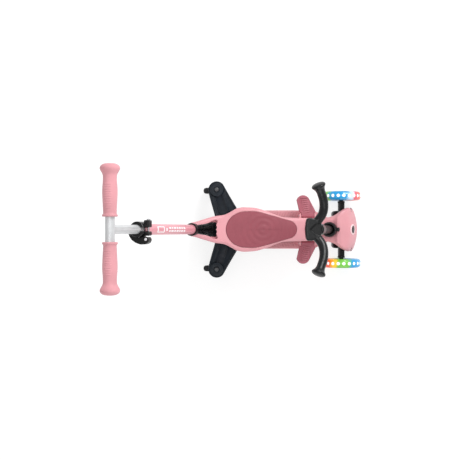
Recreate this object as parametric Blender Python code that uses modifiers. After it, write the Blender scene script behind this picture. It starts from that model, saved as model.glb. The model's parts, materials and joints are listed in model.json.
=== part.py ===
"""Child's three-wheel kick scooter set up as a ride-on, with a seat, a short
handlebar with footrests, outrigger legs on casters and a rear push bar.

Frame: +X is forward, +Y is the rider's left, +Z is up, the floor is z = 0 and
the origin is under the middle of the whole object. All lengths are metres.
"""
import math

import bmesh
import bpy
from mathutils import Matrix, Vector

GAP = 0.0003                      # clearance between touching pieces
SIDES = (("left", 1), ("right", -1))

# Front wheels and their steering knuckles
WHEEL_RADIUS = 0.0605
WHEEL_WIDTH = 0.028
AXLE_X = 0.2925
TRACK_HALF = 0.1045
KINGPIN_Y = 0.049
KINGPIN_TILT = math.radians(15)
KINGPIN_RADIUS = 0.004
STEER_ARM = 0.021
ARM_HALF = 0.009
BOSS_HALF = 0.0172
AXLE_RADIUS = 0.0039
BEARING_RADIUS = 0.011
CORE_RADIUS = 0.0417

# Deck
DECK_TOP = 0.088
DECK_BOTTOM = 0.062
DECK_HALF = 0.0595
DECK_FRONT = 0.262
DECK_REAR_HALF = 0.033
TRAY_BOTTOM = 0.052

# Fixed rear wheel
REAR_WHEEL_X = -0.122
REAR_WHEEL_RADIUS = 0.040
REAR_WHEEL_LIFT = 0.003
REAR_SLOT_HALF = 0.020
PRONG_HALF = 0.028
BRAKE_X = -0.094
BRAKE_Z = 0.0805
BRAKE_PIN_RADIUS = 0.0015

# Nose shell
NOSE_REAR = 0.2225
NOSE_BOTTOM = 0.045
NOSE_WALL = 0.0028
NOSE_APEX = 0.3425
NOSE_CENTRE = 0.262                # the nose's front shrinks towards here as it rises
LOCK_X = 0.3235
LOCK_Z = 0.098
LOCK_TILT = math.radians(61)
LOCK_RADIUS = 0.012

# Ride-on column and handlebar
COLUMN_X = 0.2445
COLUMN_Z = 0.135
COLUMN_TILT = math.radians(-14.7)
COLUMN_RADIUS = 0.01225
COLLAR_RADIUS = 0.0225
COLUMN_TOP = 0.212
BAR_RADIUS = 0.0108
HUB_HALF = 0.032

# Footrests
REST_AXIS_Y = 0.0415
REST_AXIS_Z = 0.138
REST_HALF_THICK = 0.006
REST_X = 0.180

# Seat
SEAT_TOP = 0.2265                 # height of the seat's top over the origin
SEAT_FALL = 0.055                 # how much it falls for each metre forward
SEAT_WALL = 0.0032
SEAT_SLAB = 0.010
PAD_DEPTH = 0.005
PAD_CROWN = 0.003

# Outrigger legs and casters
CARRIER_HALF = 0.0397
LEG_BOTTOM = 0.070
LEG_TOP = 0.100
SWIVEL_X = -0.0965
SWIVEL_Y = 0.123
LEG_TIP_RADIUS = 0.0256
CAP_RADIUS = 0.022
CASTER_RADIUS = 0.025
CASTER_HALF = 0.009
CASTER_TRAIL = 0.018

# Push bar: distances called s run up the pole from its foot
POLE_X = -0.1098
POLE_Z = 0.100
POLE_TILT = math.radians(-18.7)
POLE_RADIUS = 0.014
POLE_BORE = 0.0126
POLE_START = 0.0225
POLE_END = 0.520
SOCKET_RADIUS = 0.0175
RIM_RADIUS = 0.0187
SOCKET_END = 0.1795
UPPER_RADIUS = 0.0111
UPPER_BORE = 0.0096
UPPER_START = 0.330
BAR_S = 0.6852
CLAMP_LOW = 0.5078
CLAMP_HIGH = 0.5448
CLAMP_RADIUS = 0.0195
CLAMP_BOLT_X = 0.0225
LEVER_X = 0.020
LEVER_Y = -0.0245
GRIP_START = 0.029
GRIP_END = 0.151

LOOKS = {
    "light_pink": ((0.80, 0.40, 0.43), 0.45, 0.0),
    "dark_pink": ((0.45, 0.10, 0.14), 0.60, 0.0),
    "black": ((0.014, 0.015, 0.017), 0.45, 0.0),
    "leg_black": ((0.020, 0.028, 0.034), 0.50, 0.0),
    "silver": ((0.62, 0.63, 0.65), 0.32, 1.0),
    "steel": ((0.48, 0.48, 0.50), 0.30, 1.0),
    "tyre_clear": ((0.60, 0.75, 0.85), 0.30, 0.0),
    "core_white": ((0.85, 0.86, 0.88), 0.35, 0.0),
    "rubber": ((0.020, 0.020, 0.022), 0.75, 0.0),
}


def empty_scene():
    for item in list(bpy.data.objects):
        bpy.data.objects.remove(item, do_unlink=True)


def new_collection(name):
    group = bpy.data.collections.new(name)
    bpy.context.scene.collection.children.link(group)
    return group


empty_scene()
PARTS = new_collection("kick_scooter")
CUTTERS = new_collection("cutters")


def material(node, look):
    colour, roughness, metallic = LOOKS[look]
    surface = bpy.data.materials.new(node + "_" + look)
    surface.use_nodes = True
    shader = surface.node_tree.nodes["Principled BSDF"]
    shader.inputs["Base Color"].default_value = (*colour, 1.0)
    shader.inputs["Roughness"].default_value = roughness
    shader.inputs["Metallic"].default_value = metallic
    surface.diffuse_color = (*colour, 1.0)
    return surface


def frame_at(name, place, tilt=0.0):
    """An empty at a place, tilted about Y."""
    frame = bpy.data.objects.new(name, None)
    frame.location = place
    frame.rotation_euler = (0.0, tilt, 0.0)
    PARTS.objects.link(frame)
    return frame


def add_object(name, mesh, look, frame):
    """A part where a look is given, a cutter or joined shape where it is None."""
    item = bpy.data.objects.new(name, mesh)
    if look is None:
        CUTTERS.objects.link(item)
        item.hide_render = True
        item.display_type = "WIRE"
    else:
        PARTS.objects.link(item)
        mesh.materials.append(material(name, look))
    item.parent = frame
    return item


def from_bmesh(name, shape, look, frame):
    bmesh.ops.recalc_face_normals(shape, faces=shape.faces[:])
    mesh = bpy.data.meshes.new(name)
    shape.to_mesh(mesh)
    shape.free()
    mesh.shade_smooth()
    mesh.set_sharp_from_angle(angle=math.radians(35))
    return add_object(name, mesh, look, frame)


def bevel(item, width, segments=1, angle=40):
    edge = item.modifiers.new("bevel", "BEVEL")
    edge.width = width
    edge.segments = segments
    edge.limit_method = "ANGLE"
    edge.angle_limit = math.radians(angle)


def combine(item, other, operation):
    step = item.modifiers.new(operation.lower(), "BOOLEAN")
    step.operation = operation
    step.solver = "EXACT"
    step.object = other


def cut(item, *others):
    for other in others:
        combine(item, other, "DIFFERENCE")


def join(item, *others):
    for other in others:
        combine(item, other, "UNION")


def block(name, low, high, look, frame=None, edge=0.0):
    """A box between two corners, with bevelled edges where edge is given."""
    low, high = Vector(low), Vector(high)
    shape = bmesh.new()
    bmesh.ops.create_cube(shape, size=1.0)
    size = high - low
    bmesh.ops.scale(shape, vec=size, verts=shape.verts)
    bmesh.ops.translate(shape, vec=(low + high) / 2, verts=shape.verts)
    item = from_bmesh(name, shape, look, frame)
    if edge:
        bevel(item, edge)
    return item


def rod(name, radius, start, end, look, frame=None, segments=16, end_radius=None):
    """A round bar or cone from one point to another."""
    start, end = Vector(start), Vector(end)
    along = end - start
    place = Matrix.Translation((start + end) / 2) @ along.to_track_quat("Z", "Y").to_matrix().to_4x4()
    shape = bmesh.new()
    bmesh.ops.create_cone(shape, cap_ends=True, segments=segments, radius1=radius,
                          radius2=radius if end_radius is None else end_radius,
                          depth=along.length, matrix=place)
    return from_bmesh(name, shape, look, frame)


def turned(name, profile, look, frame=None, place=(0, 0, 0), axis="Z", closed=True, steps=20):
    """A profile of (radius, height) points, outer side first and top to bottom.

    A closed profile makes a ring, an open one starts and ends on the axis.
    """
    mesh = bpy.data.meshes.new(name)
    points = [(radius, 0.0, height) for radius, height in profile]
    edges = [(i, i + 1) for i in range(len(points) - 1)]
    if closed:
        edges.append((len(points) - 1, 0))
    mesh.from_pydata(points, edges, [])
    item = add_object(name, mesh, look, frame)
    item.location = place
    item.rotation_euler = {"Z": (0, 0, 0), "Y": (-math.pi / 2, 0, 0), "-Y": (math.pi / 2, 0, 0)}[axis]
    screw = item.modifiers.new("screw", "SCREW")
    screw.axis = "Z"
    screw.steps = steps
    screw.render_steps = steps
    screw.use_merge_vertices = True
    screw.merge_threshold = 0.00001
    screw.use_smooth_shade = True
    return item


def mesh_of_curve(name, curve, look, frame):
    """The curve's evaluated mesh, with its caps welded, as a new object."""
    guide = bpy.data.objects.new(name + "_curve", curve)
    CUTTERS.objects.link(guide)
    guide.parent = frame
    bpy.context.view_layer.update()
    graph = bpy.context.evaluated_depsgraph_get()
    mesh = bpy.data.meshes.new_from_object(guide.evaluated_get(graph))
    shape = bmesh.new()
    shape.from_mesh(mesh)
    bmesh.ops.remove_doubles(shape, verts=shape.verts, dist=0.00001)
    bpy.data.objects.remove(guide, do_unlink=True)
    return from_bmesh(name, shape, look, frame)


def plate(name, outline, low, high, look, frame=None, edge=0.0):
    """A flat outline of (x, y) points with vertical sides between two heights."""
    curve = bpy.data.curves.new(name, "CURVE")
    curve.dimensions = "2D"
    curve.fill_mode = "BOTH"
    curve.extrude = (high - low) / 2
    line = curve.splines.new("POLY")
    line.points.add(len(outline) - 1)
    for point, (x, y) in zip(line.points, outline):
        point.co = (x, y, 0.0, 1.0)
    line.use_cyclic_u = True
    item = mesh_of_curve(name, curve, look, frame)
    item.data.transform(Matrix.Translation((0, 0, (low + high) / 2)))
    if edge:
        bevel(item, edge)
    return item


def tube(name, points, radius, look, frame=None, resolution=2, scales=None):
    """A round bar along a smooth line through the points, with flat ends."""
    curve = bpy.data.curves.new(name, "CURVE")
    curve.dimensions = "3D"
    curve.bevel_depth = radius
    curve.bevel_resolution = resolution
    curve.use_fill_caps = True
    line = curve.splines.new("POLY")
    line.points.add(len(points) - 1)
    for index, place in enumerate(points):
        line.points[index].co = (*place, 1.0)
        line.points[index].radius = 1.0 if scales is None else scales[index]
    return mesh_of_curve(name, curve, look, frame)


def strip_cap(shape, ring):
    """Closes a ring that is its own mirror image with strips from side to side."""
    last = len(ring) - 1
    for i in range((last + 1) // 2):
        corners = (ring[i], ring[i + 1], ring[last - i - 1], ring[last - i])
        if len(set(corners)) > 2:
            shape.faces.new(dict.fromkeys(corners))


def loft(name, rings, look, frame=None):
    """A closed skin through mirrored rings that have the same number of points."""
    shape = bmesh.new()
    rows = [[shape.verts.new(point) for point in ring] for ring in rings]
    count = len(rows[0])
    for lower, upper in zip(rows, rows[1:]):
        for i in range(count):
            after = (i + 1) % count
            shape.faces.new((lower[i], lower[after], upper[after], upper[i]))
    strip_cap(shape, rows[0])
    strip_cap(shape, rows[-1])
    return from_bmesh(name, shape, look, frame)


def arc(centre, radius, start, end, count):
    """Points along an arc in the plane, from one angle in degrees to another."""
    steps = [math.radians(start + (end - start) * i / count) for i in range(count + 1)]
    return [(centre[0] + radius * math.cos(a), centre[1] + radius * math.sin(a)) for a in steps]


def both_sides(half):
    """A closed outline from its left half, listed from front to rear."""
    mirrored = [(x, -y) for x, y in reversed(half) if abs(y) > 1e-6]
    return half + mirrored


def blend(table, x):
    """The value at x of a table of (x, value) rows, joined by straight lines."""
    if x <= table[0][0]:
        return table[0][1]
    for (x0, v0), (x1, v1) in zip(table, table[1:]):
        if x <= x1:
            return v0 + (v1 - v0) * (x - x0) / (x1 - x0)
    return table[-1][1]


# ---------------------------------------------------------------- deck

def build_deck():
    half = [(DECK_FRONT, 0.034), (0.250, 0.036), (0.232, 0.044), (0.215, 0.054), (0.198, 0.059),
            (0.120, DECK_HALF), (0.050, DECK_HALF), (0.030, 0.058), (0.005, 0.046), (-0.010, 0.036),
            (-0.018, DECK_REAR_HALF), (-0.100, DECK_REAR_HALF), (-0.106, PRONG_HALF),
            (-0.136, PRONG_HALF), (-0.136, REAR_SLOT_HALF), (-0.084, REAR_SLOT_HALF)]
    deck = plate("deck", both_sides(half), DECK_BOTTOM, DECK_TOP, "light_pink", edge=0.003)
    axle_z = REAR_WHEEL_RADIUS + REAR_WHEEL_LIFT
    axle_hole = rod("rear_axle_hole", 0.004 + GAP, (REAR_WHEEL_X, -0.04, axle_z),
                    (REAR_WHEEL_X, 0.04, axle_z), None)
    pin_hole = rod("brake_pin_hole", BRAKE_PIN_RADIUS + GAP, (BRAKE_X, -0.0282, BRAKE_Z),
                   (BRAKE_X, 0.0282, BRAKE_Z), None, segments=10)
    for name, side in SIDES:
        ear = block(name + "_prong", (-0.136, REAR_SLOT_HALF + 0.0005, 0.032),
                    (-0.108, PRONG_HALF - 0.0005, 0.070), None, edge=0.003)
        ear.scale.y = side
        if side < 0:
            ear.data.flip_normals()
        join(deck, ear)
    cut(deck, axle_hole, pin_hole)
    tray = [(0.190, 0.046), (0.176, 0.052), (0.040, 0.052), (0.012, 0.040), (-0.004, 0.028),
            (-0.070, 0.026)]
    plate("deck_undertray", both_sides(tray), TRAY_BOTTOM, DECK_BOTTOM - GAP, "black", edge=0.003)


def build_rear_wheel():
    z = REAR_WHEEL_RADIUS + REAR_WHEEL_LIFT
    turned("rear_wheel", [(0.034, 0.014), (REAR_WHEEL_RADIUS, 0.007), (REAR_WHEEL_RADIUS, -0.007),
                          (0.034, -0.014), (0.026, -0.011), (0.010, -0.0185), (0.0043, -0.0185),
                          (0.0043, 0.0185), (0.010, 0.0185), (0.026, 0.011)],
           "rubber", place=(REAR_WHEEL_X, 0, z), axis="Y", steps=24)
    axle = rod("rear_axle", 0.004, (REAR_WHEEL_X, -0.031, z), (REAR_WHEEL_X, 0.0285, z), "steel")
    join(axle, rod("rear_axle_head", 0.0065, (REAR_WHEEL_X, 0.0283, z), (REAR_WHEEL_X, 0.033, z),
                   None, segments=6))
    outer = arc((REAR_WHEEL_X, z), REAR_WHEEL_RADIUS + 0.0046, 75, 180, 7)
    inner = arc((REAR_WHEEL_X, z), REAR_WHEEL_RADIUS + 0.0024, 180, 75, 7)
    brake = plate("rear_brake", outer + inner, -0.016, 0.016, "black")
    brake.data.transform(Matrix.Rotation(math.pi / 2, 4, "X"))
    barrel = rod("brake_barrel", 0.004, (BRAKE_X, -0.016, BRAKE_Z), (BRAKE_X, 0.016, BRAKE_Z), None)
    web = block("brake_web", (-0.1115, -0.0155, BRAKE_Z + 0.0020), (BRAKE_X, 0.0155, BRAKE_Z + 0.0050), None)
    join(brake, web, barrel)
    cut(brake, rod("brake_hole", BRAKE_PIN_RADIUS + GAP, (BRAKE_X, -0.03, BRAKE_Z), (BRAKE_X, 0.03, BRAKE_Z),
                   None, segments=10))
    rod("brake_pin", BRAKE_PIN_RADIUS, (BRAKE_X, -0.0275, BRAKE_Z), (BRAKE_X, 0.0275, BRAKE_Z), "steel",
        segments=10)


# ---------------------------------------------------------------- front truck

def build_truck():
    truck = frame_at("truck_frame", (AXLE_X, 0, WHEEL_RADIUS), KINGPIN_TILT)
    base = block("truck_base", (-0.010, -0.038, -0.018), (0.012, 0.038, 0.018), "black", truck, edge=0.0015)
    join(base, block("truck_tongue", (-0.030, -0.022, 0.004), (-0.006, 0.022, 0.0175), None, truck))
    for low in (-0.0223, 0.0176):
        lug = block("truck_lug", (-0.0096, -0.059, low), (0.0114, 0.059, low + 0.0047), None, truck)
        join(base, lug)
    for name, side in SIDES:
        y = side * KINGPIN_Y
        cut(base, rod(name + "_kingpin_hole", KINGPIN_RADIUS + GAP, (0, y, -0.03), (0, y, 0.03), None, truck))
        pin = rod(name + "_kingpin", KINGPIN_RADIUS, (0, y, -0.0255), (0, y, 0.0225), "steel", truck)
        head = rod(name + "_kingpin_head", 0.0065, (0, y, 0.0223), (0, y, 0.0262), None, truck, segments=6)
        join(pin, head)
        turned(name + "_centring_spring",
               [(0.0085, 0.0245), (0.0105, 0.023), (0.0085, 0.0225), (0.0070, 0.0225), (0.0070, 0.0265),
                (0.0078, 0.0268)], "steel", truck, place=(0, y, 0), steps=14)
        build_knuckle(name, side, truck)
    rod_y = KINGPIN_Y
    half = arc((-STEER_ARM, rod_y), 0.008, 0, 180, 6)
    outline = half + [(x, -y) for x, y in reversed(half)]
    tie = plate("tie_rod", outline, -0.0145, -0.0083, "steel", truck, edge=0.001)
    for name, side in SIDES:
        cut(tie, rod(name + "_rod_eye", 0.0047, (-STEER_ARM, side * rod_y, -0.03),
                     (-STEER_ARM, side * rod_y, 0.0), None, truck))


def build_knuckle(name, side, truck):
    y = side * KINGPIN_Y
    wheel = side * TRACK_HALF
    knuckle = rod(name + "_knuckle", 0.009, (0, y, -BOSS_HALF), (0, y, BOSS_HALF), "black", truck)
    arm = block(name + "_arm", (-ARM_HALF, min(y, y + side * 0.036), -ARM_HALF),
                (ARM_HALF, max(y, y + side * 0.036), ARM_HALF), None, truck, edge=0.003)
    stub = rod(name + "_stub", 0.0115, (0, y + side * 0.034, 0), (0, side * 0.0885, 0), None, truck)
    spacer = rod(name + "_spacer", 0.007, (0, side * 0.088, 0), (0, wheel - side * 0.0037, 0), None, truck)
    link = block(name + "_link", (-STEER_ARM, y - 0.005, -0.0055), (0.0, y + 0.005, 0.006), None, truck)
    lump = rod(name + "_steer_end", 0.0092, (-STEER_ARM, y, -0.0075), (-STEER_ARM, y, 0.0075), None, truck)
    stud = rod(name + "_stud", 0.003, (-STEER_ARM, y, -0.016), (-STEER_ARM, y, 0.0), None, truck,
               segments=10)
    join(knuckle, arm, stub, spacer, link, lump, stud)
    cut(knuckle, rod(name + "_pin_hole", KINGPIN_RADIUS + GAP, (0, y, -0.03), (0, y, 0.03), None, truck),
        rod(name + "_bolt_hole", AXLE_RADIUS + GAP, (0, side * 0.074, 0), (0, side * 0.12, 0), None, truck))


def build_front_wheels():
    half = WHEEL_WIDTH / 2
    for name, side in SIDES:
        axis = "Y" if side > 0 else "-Y"
        centre = (AXLE_X, side * TRACK_HALF, WHEEL_RADIUS)
        turned(name + "_tyre", [(0.0515, half), (0.0560, half - 0.0015), (0.0592, half - 0.0055),
                                (WHEEL_RADIUS, half - 0.0105), (WHEEL_RADIUS, -half + 0.0105),
                                (0.0592, -half + 0.0055), (0.0560, -half + 0.0015), (0.0515, -half),
                                (0.0420, -half + 0.001), (0.0420, half - 0.001)],
               "tyre_clear", place=centre, axis=axis, steps=32)
        turned(name + "_wheel_core", [(CORE_RADIUS, 0.0125), (CORE_RADIUS, -0.0125), (0.038, -0.0125),
                                      (0.037, -0.0075), (0.017, -0.0075),
                                      (BEARING_RADIUS + GAP, -0.0075), (BEARING_RADIUS + GAP, 0.0075),
                                      (0.017, 0.0075), (0.037, 0.0075), (0.038, 0.0125)],
               "core_white", place=centre, axis=axis, steps=20)
        turned(name + "_wheel_bearing", [(BEARING_RADIUS, 0.0035), (BEARING_RADIUS, -0.0035),
                                         (AXLE_RADIUS + GAP, -0.0035), (AXLE_RADIUS + GAP, 0.0035)],
               "steel", place=centre, axis=axis, steps=14)
        turned(name + "_axle_bolt", [(0, 0.0085), (0.0068, 0.0085), (0.0068, 0.0038),
                                     (AXLE_RADIUS, 0.0038), (AXLE_RADIUS, -0.0295), (0, -0.0295)],
               "steel", place=centre, axis=axis, closed=False, steps=14)
        turned(name + "_hub_cap", [(0, 0.0135), (0.008, 0.013), (0.0145, 0.0105), (0.0152, 0.0078),
                                   (0.0090, 0.0078), (0.0085, 0.0105), (0, 0.0108)],
               "light_pink", place=centre, axis=axis, closed=False, steps=16)


# ---------------------------------------------------------------- nose shell

NOSE_SIDE = [(NOSE_REAR, 0.0365), (0.2395, 0.038), (0.2545, 0.041), (0.2675, 0.045), (0.2775, 0.050),
             (0.2885, 0.057), (0.3005, 0.064), (0.3115, 0.0685), (0.3200, 0.0690), (0.3255, 0.0670)]
NOSE_LEVELS = [(0.045, 0.0, 0.0), (0.058, 0.0, 0.0), (0.078, 0.0005, 0.008), (0.098, 0.003, 0.019),
               (0.110, 0.007, 0.028), (0.118, 0.013, 0.038), (0.121, 0.022, 0.050)]


def nose_outline():
    """The left half of the outline, from the rear of the neck round to the nose's tip."""
    front = [(NOSE_APEX - 0.0155 * (y / 0.068) ** 2, y) for y in (0.060, 0.045, 0.030, 0.015, 0.0)]
    return NOSE_SIDE + front


def nose_rings(wall):
    """Level outlines of the outer skin, or of the inner one where a wall is given."""
    rings = []
    for height, inset, pull in NOSE_LEVELS:
        ring = []
        for x, y in nose_outline():
            shrink = 1.0 - (pull + wall) / (NOSE_APEX - NOSE_CENTRE)
            lift = blend([(0.235, 0.80), (0.290, 1.0)], x)
            z = NOSE_BOTTOM + (height - NOSE_BOTTOM) * lift
            narrow = 1.0 - (inset + wall) / 0.069
            place_x = NOSE_CENTRE + (x - NOSE_CENTRE) * (shrink if x > NOSE_CENTRE else 1.0)
            place_x += wall if x < 0.23 else 0.0
            ring.append((place_x, y * narrow, z - wall))
        mirrored = [(x, -y, z) for x, y, z in reversed(ring) if abs(y) > 1e-6]
        rings.append(ring + mirrored)
    if wall:
        rings.insert(0, [(x, y, z - 0.01) for x, y, z in rings[0]])
    return rings


def build_nose():
    shell = loft("nose_shell", nose_rings(0.0), "light_pink")
    inner = loft("nose_hollow", nose_rings(NOSE_WALL), None)
    neck = block("neck_space", (0.200, -0.09, 0.030), (0.2665, 0.09, DECK_TOP + 2 * GAP), None)
    swing = block("knuckle_space", (0.240, -0.09, 0.030), (0.3219, 0.09, 0.0861), None)
    column = rod("collar_hole", COLLAR_RADIUS + GAP, (0, 0, -0.08), (0, 0, 0.02), None, COLUMN, segments=20)
    lock_hole = rod("lock_hole", LOCK_RADIUS + 0.0004, (0, 0, -0.02), (0, 0, 0.02), None, LOCK)
    cut(shell, lock_hole, column, inner, neck, swing)
    turned("steering_lock_button", [(0, 0.0028), (0.009, 0.0025), (0.0115, 0.0008), (LOCK_RADIUS, -0.001),
                                    (LOCK_RADIUS, -0.009), (0.0035, -0.009), (0.0035, -0.0245), (0, -0.0245)],
           "black", LOCK, closed=False, steps=16)


# ---------------------------------------------------------------- column and handlebar

def build_column():
    collar = turned("column_collar", [(0.0205, 0.0), (COLLAR_RADIUS, -0.002), (COLLAR_RADIUS, -0.0405),
                                      (COLUMN_RADIUS + GAP, -0.0405), (COLUMN_RADIUS + GAP, -0.0065),
                                      (0.0150, -0.0055), (0.0155, 0.0)],
                    "black", COLUMN, steps=20)
    pocket = rod("button_pocket", 0.0062 + GAP, (0.0165, 0, -0.0125), (0.03, 0, -0.0125), None, COLUMN)
    cut(collar, pocket)
    button = rod("column_release_button", 0.0062, (0.0205, 0, -0.0125), (0.0315, 0, -0.0125), "black", COLUMN)
    bevel(button, 0.001)
    rod("column_tube", COLUMN_RADIUS, (0, 0, -0.0385), (0, 0, COLUMN_TOP - 0.012), "black", COLUMN)


def handlebar_line():
    """Points down the middle of the bar, from its left end over the hub to its right end."""
    left = [(0.1875, 0.1165, 0.385), (0.1935, 0.0990, 0.379), (0.1995, 0.0813, 0.371),
            (0.2018, 0.0606, 0.361), (0.1985, 0.0425, 0.354), (0.1910, 0.0290, 0.349),
            (0.1810, 0.0160, 0.346)]
    path = left + [(0.1740, 0.0, 0.3445)] + [(x, -y, z) for x, y, z in reversed(left)]
    path = [Vector(point) for point in path]
    fine = []
    for i in range(len(path) - 1):
        here, there = path[i], path[i + 1]
        before, after = path[max(i - 1, 0)], path[min(i + 2, len(path) - 1)]
        for t in (0.0, 0.5):
            fine.append(0.5 * (2 * here + (there - before) * t
                               + (2 * before - 5 * here + 4 * there - after) * t * t
                               + (3 * here - before - 3 * there + after) * t ** 3))
    return fine + [path[-1]]


def build_handlebar():
    outline = [(0.1985, 0.014), (0.190, 0.024), (0.180, HUB_HALF - 0.001), (0.168, HUB_HALF),
               (0.160, HUB_HALF), (0.1555, 0.029), (0.1535, 0.016), (0.1525, 0.0)]
    bar = plate("ride_handlebar", both_sides(outline), 0.331, 0.3585, "black", edge=0.004)
    points = handlebar_line()
    middle = len(points) // 2
    boss = rod("column_boss", 0.0165, (0, 0, COLUMN_TOP - 0.052), (0, 0, COLUMN_TOP), None, COLUMN)
    line = tube("bar_line", points, BAR_RADIUS, None,
                scales=[1.0 + 0.12 * (1 - abs(i - middle) / middle) for i in range(len(points))])
    join(bar, boss, line)
    for end, inner in ((points[0], points[1]), (points[-1], points[-2])):
        outward = (end - inner).normalized()
        flange = rod("bar_flange", 0.0165, end - outward * 0.0015, end + outward * 0.0030, None,
                     end_radius=0.0198)
        dome = rod("bar_dome", 0.0195, end + outward * 0.0024, end + outward * 0.0095, None,
                   end_radius=0.0140)
        join(bar, flange, dome)
    cut(bar, rod("column_bore", COLUMN_RADIUS + GAP, (0, 0, 0.1), (0, 0, COLUMN_TOP - 0.0115), None, COLUMN))


# ---------------------------------------------------------------- seat

SEAT_HALF = [(-0.168, 0.0200), (-0.1595, 0.0215), (-0.1315, 0.0300), (-0.0995, 0.0390), (-0.0735, 0.0430),
             (-0.0520, 0.0530), (-0.0355, 0.0620), (-0.0145, 0.0656), (0.0145, 0.0640), (0.0495, 0.0550),
             (0.0795, 0.0430), (0.1045, 0.0355), (0.1445, 0.0342), (0.2215, 0.0340)]
SEAT_RISE = [(-0.168, 0.262), (-0.1315, 0.2505), (-0.0995, 0.2390), (-0.0735, 0.2310), (0.1445, 0.2185),
             (0.1695, 0.2100), (0.1895, 0.1850), (0.2065, 0.1480), (0.2215, 0.1130)]
SEAT_BASE = [(-0.168, 0.228), (-0.1315, 0.206), (-0.0735, 0.184), (0.0495, 0.180), (0.0795, 0.172),
             (0.1045, 0.158), (0.1345, 0.128), (0.1445, 0.0885), (0.2215, 0.0885)]
SEAT_STATIONS = (-0.168, -0.150, -0.1315, -0.115, -0.0995, -0.0735, -0.0520, -0.0355, -0.0145, 0.0145,
                 0.0495, 0.0795, 0.1045, 0.1345, 0.1445, 0.158, 0.1695, 0.1795, 0.1895, 0.2065, 0.2215)


def seat_section(x, half, top, base):
    """One cross-section of the seat, an arch that is closed across its open side."""
    corner = min(0.010, half * 0.45, (top - base) * 0.45)
    side = [(half, base), (half, top - corner)]
    turns = [math.radians(a) for a in (60, 30, 0)]
    side += [(half - corner + corner * math.sin(a), top - corner + corner * math.cos(a)) for a in turns]
    side.append((half * 0.3, top + 0.0012))
    return [(x, y, z) for y, z in side] + [(x, -y, z) for y, z in reversed(side)]


def seat_rings(wall, slab, drop):
    rings = []
    for x in SEAT_STATIONS:
        place = x
        if wall and x == SEAT_STATIONS[-1]:
            place = x - wall
        if wall and x == 0.1445:
            place = x + wall
        rings.append(seat_section(place, blend(SEAT_HALF, x) - wall, blend(SEAT_RISE, x) - slab,
                                  blend(SEAT_BASE, x) - drop))
    return rings


def pad_outline(margin):
    """The pad's outline: a wide rounded rear, straight sides and a narrow round front."""
    rear = [(-0.0085 - (0.0590 + margin) * math.cos(math.radians(a)),
             (0.0525 + margin) * math.sin(math.radians(a))) for a in range(0, 91, 18)]
    front = arc((0.1185 - 0.004, 0.0), 0.0265 + margin, 70, 0, 5)
    half = list(reversed(rear + [(0.030, 0.0505 + margin)] + front))
    return both_sides(half)


def build_seat():
    shell = loft("seat_shell", seat_rings(0.0, 0.0, 0.0), "light_pink")
    inner = loft("seat_hollow", seat_rings(SEAT_WALL, SEAT_SLAB, 0.012), None)
    for name, side in SIDES:
        for x in (REST_X - 0.026, REST_X + 0.020):
            y_low, y_high = sorted((side * 0.0325, side * (REST_AXIS_Y + 0.006)))
            ear = block(name + "_rest_ear", (x, y_low, REST_AXIS_Z - 0.007),
                        (x + 0.006, y_high, REST_AXIS_Z + 0.007), None, edge=0.0015)
            join(shell, ear)
    cut(shell, inner)
    opening = both_sides([(-0.0915, 0.0), (-0.0950, 0.0115), (-0.0915, 0.0230), (-0.0935, 0.0275),
                          (-0.0985, 0.0285), (-0.1225, SOCKET_RADIUS), (-0.1500, SOCKET_RADIUS - 0.004)])
    well = plate("tail_opening", opening, 0.15, 0.30, None)
    socket_space = rod("socket_space", SOCKET_RADIUS + 0.0005, (0, 0, 0), (0, 0, 0.25), None, POLE,
                       segments=20)
    rim_space = rod("rim_space", RIM_RADIUS + 0.0005, (0, 0, SOCKET_END - 0.0105), (0, 0, 0.25), None, POLE,
                    segments=20)
    pan = plate("pad_pan", pad_outline(0.0006), -PAD_DEPTH, 0.02, None, SEAT)
    cut(shell, well, socket_space, rim_space, pan)
    for name, side in SIDES:
        y = side * REST_AXIS_Y
        cut(shell, rod(name + "_rest_pin_hole", 0.0025 + GAP, (REST_X - 0.03, y, REST_AXIS_Z),
                       (REST_X + 0.03, y, REST_AXIS_Z), None, segments=10))
    pad = plate("seat_pad", pad_outline(0.0), -PAD_DEPTH + GAP, PAD_CROWN, "dark_pink", SEAT)
    bevel(pad, 0.0022, segments=2)
    rings = []
    for z, x_low, x_high, half in ((DECK_TOP + GAP, -0.014, 0.058, 0.029), (0.112, -0.010, 0.052, 0.025),
                                   (0.196, -0.012, 0.050, 0.025), (0.2128, -0.018, 0.056, 0.034)):
        rings.append([(x_low, -half, z), (x_high, -half, z), (x_high, half, z), (x_low, half, z)])
    pedestal = loft("seat_pedestal", rings, "black")
    bevel(pedestal, 0.003, angle=50)


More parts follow.
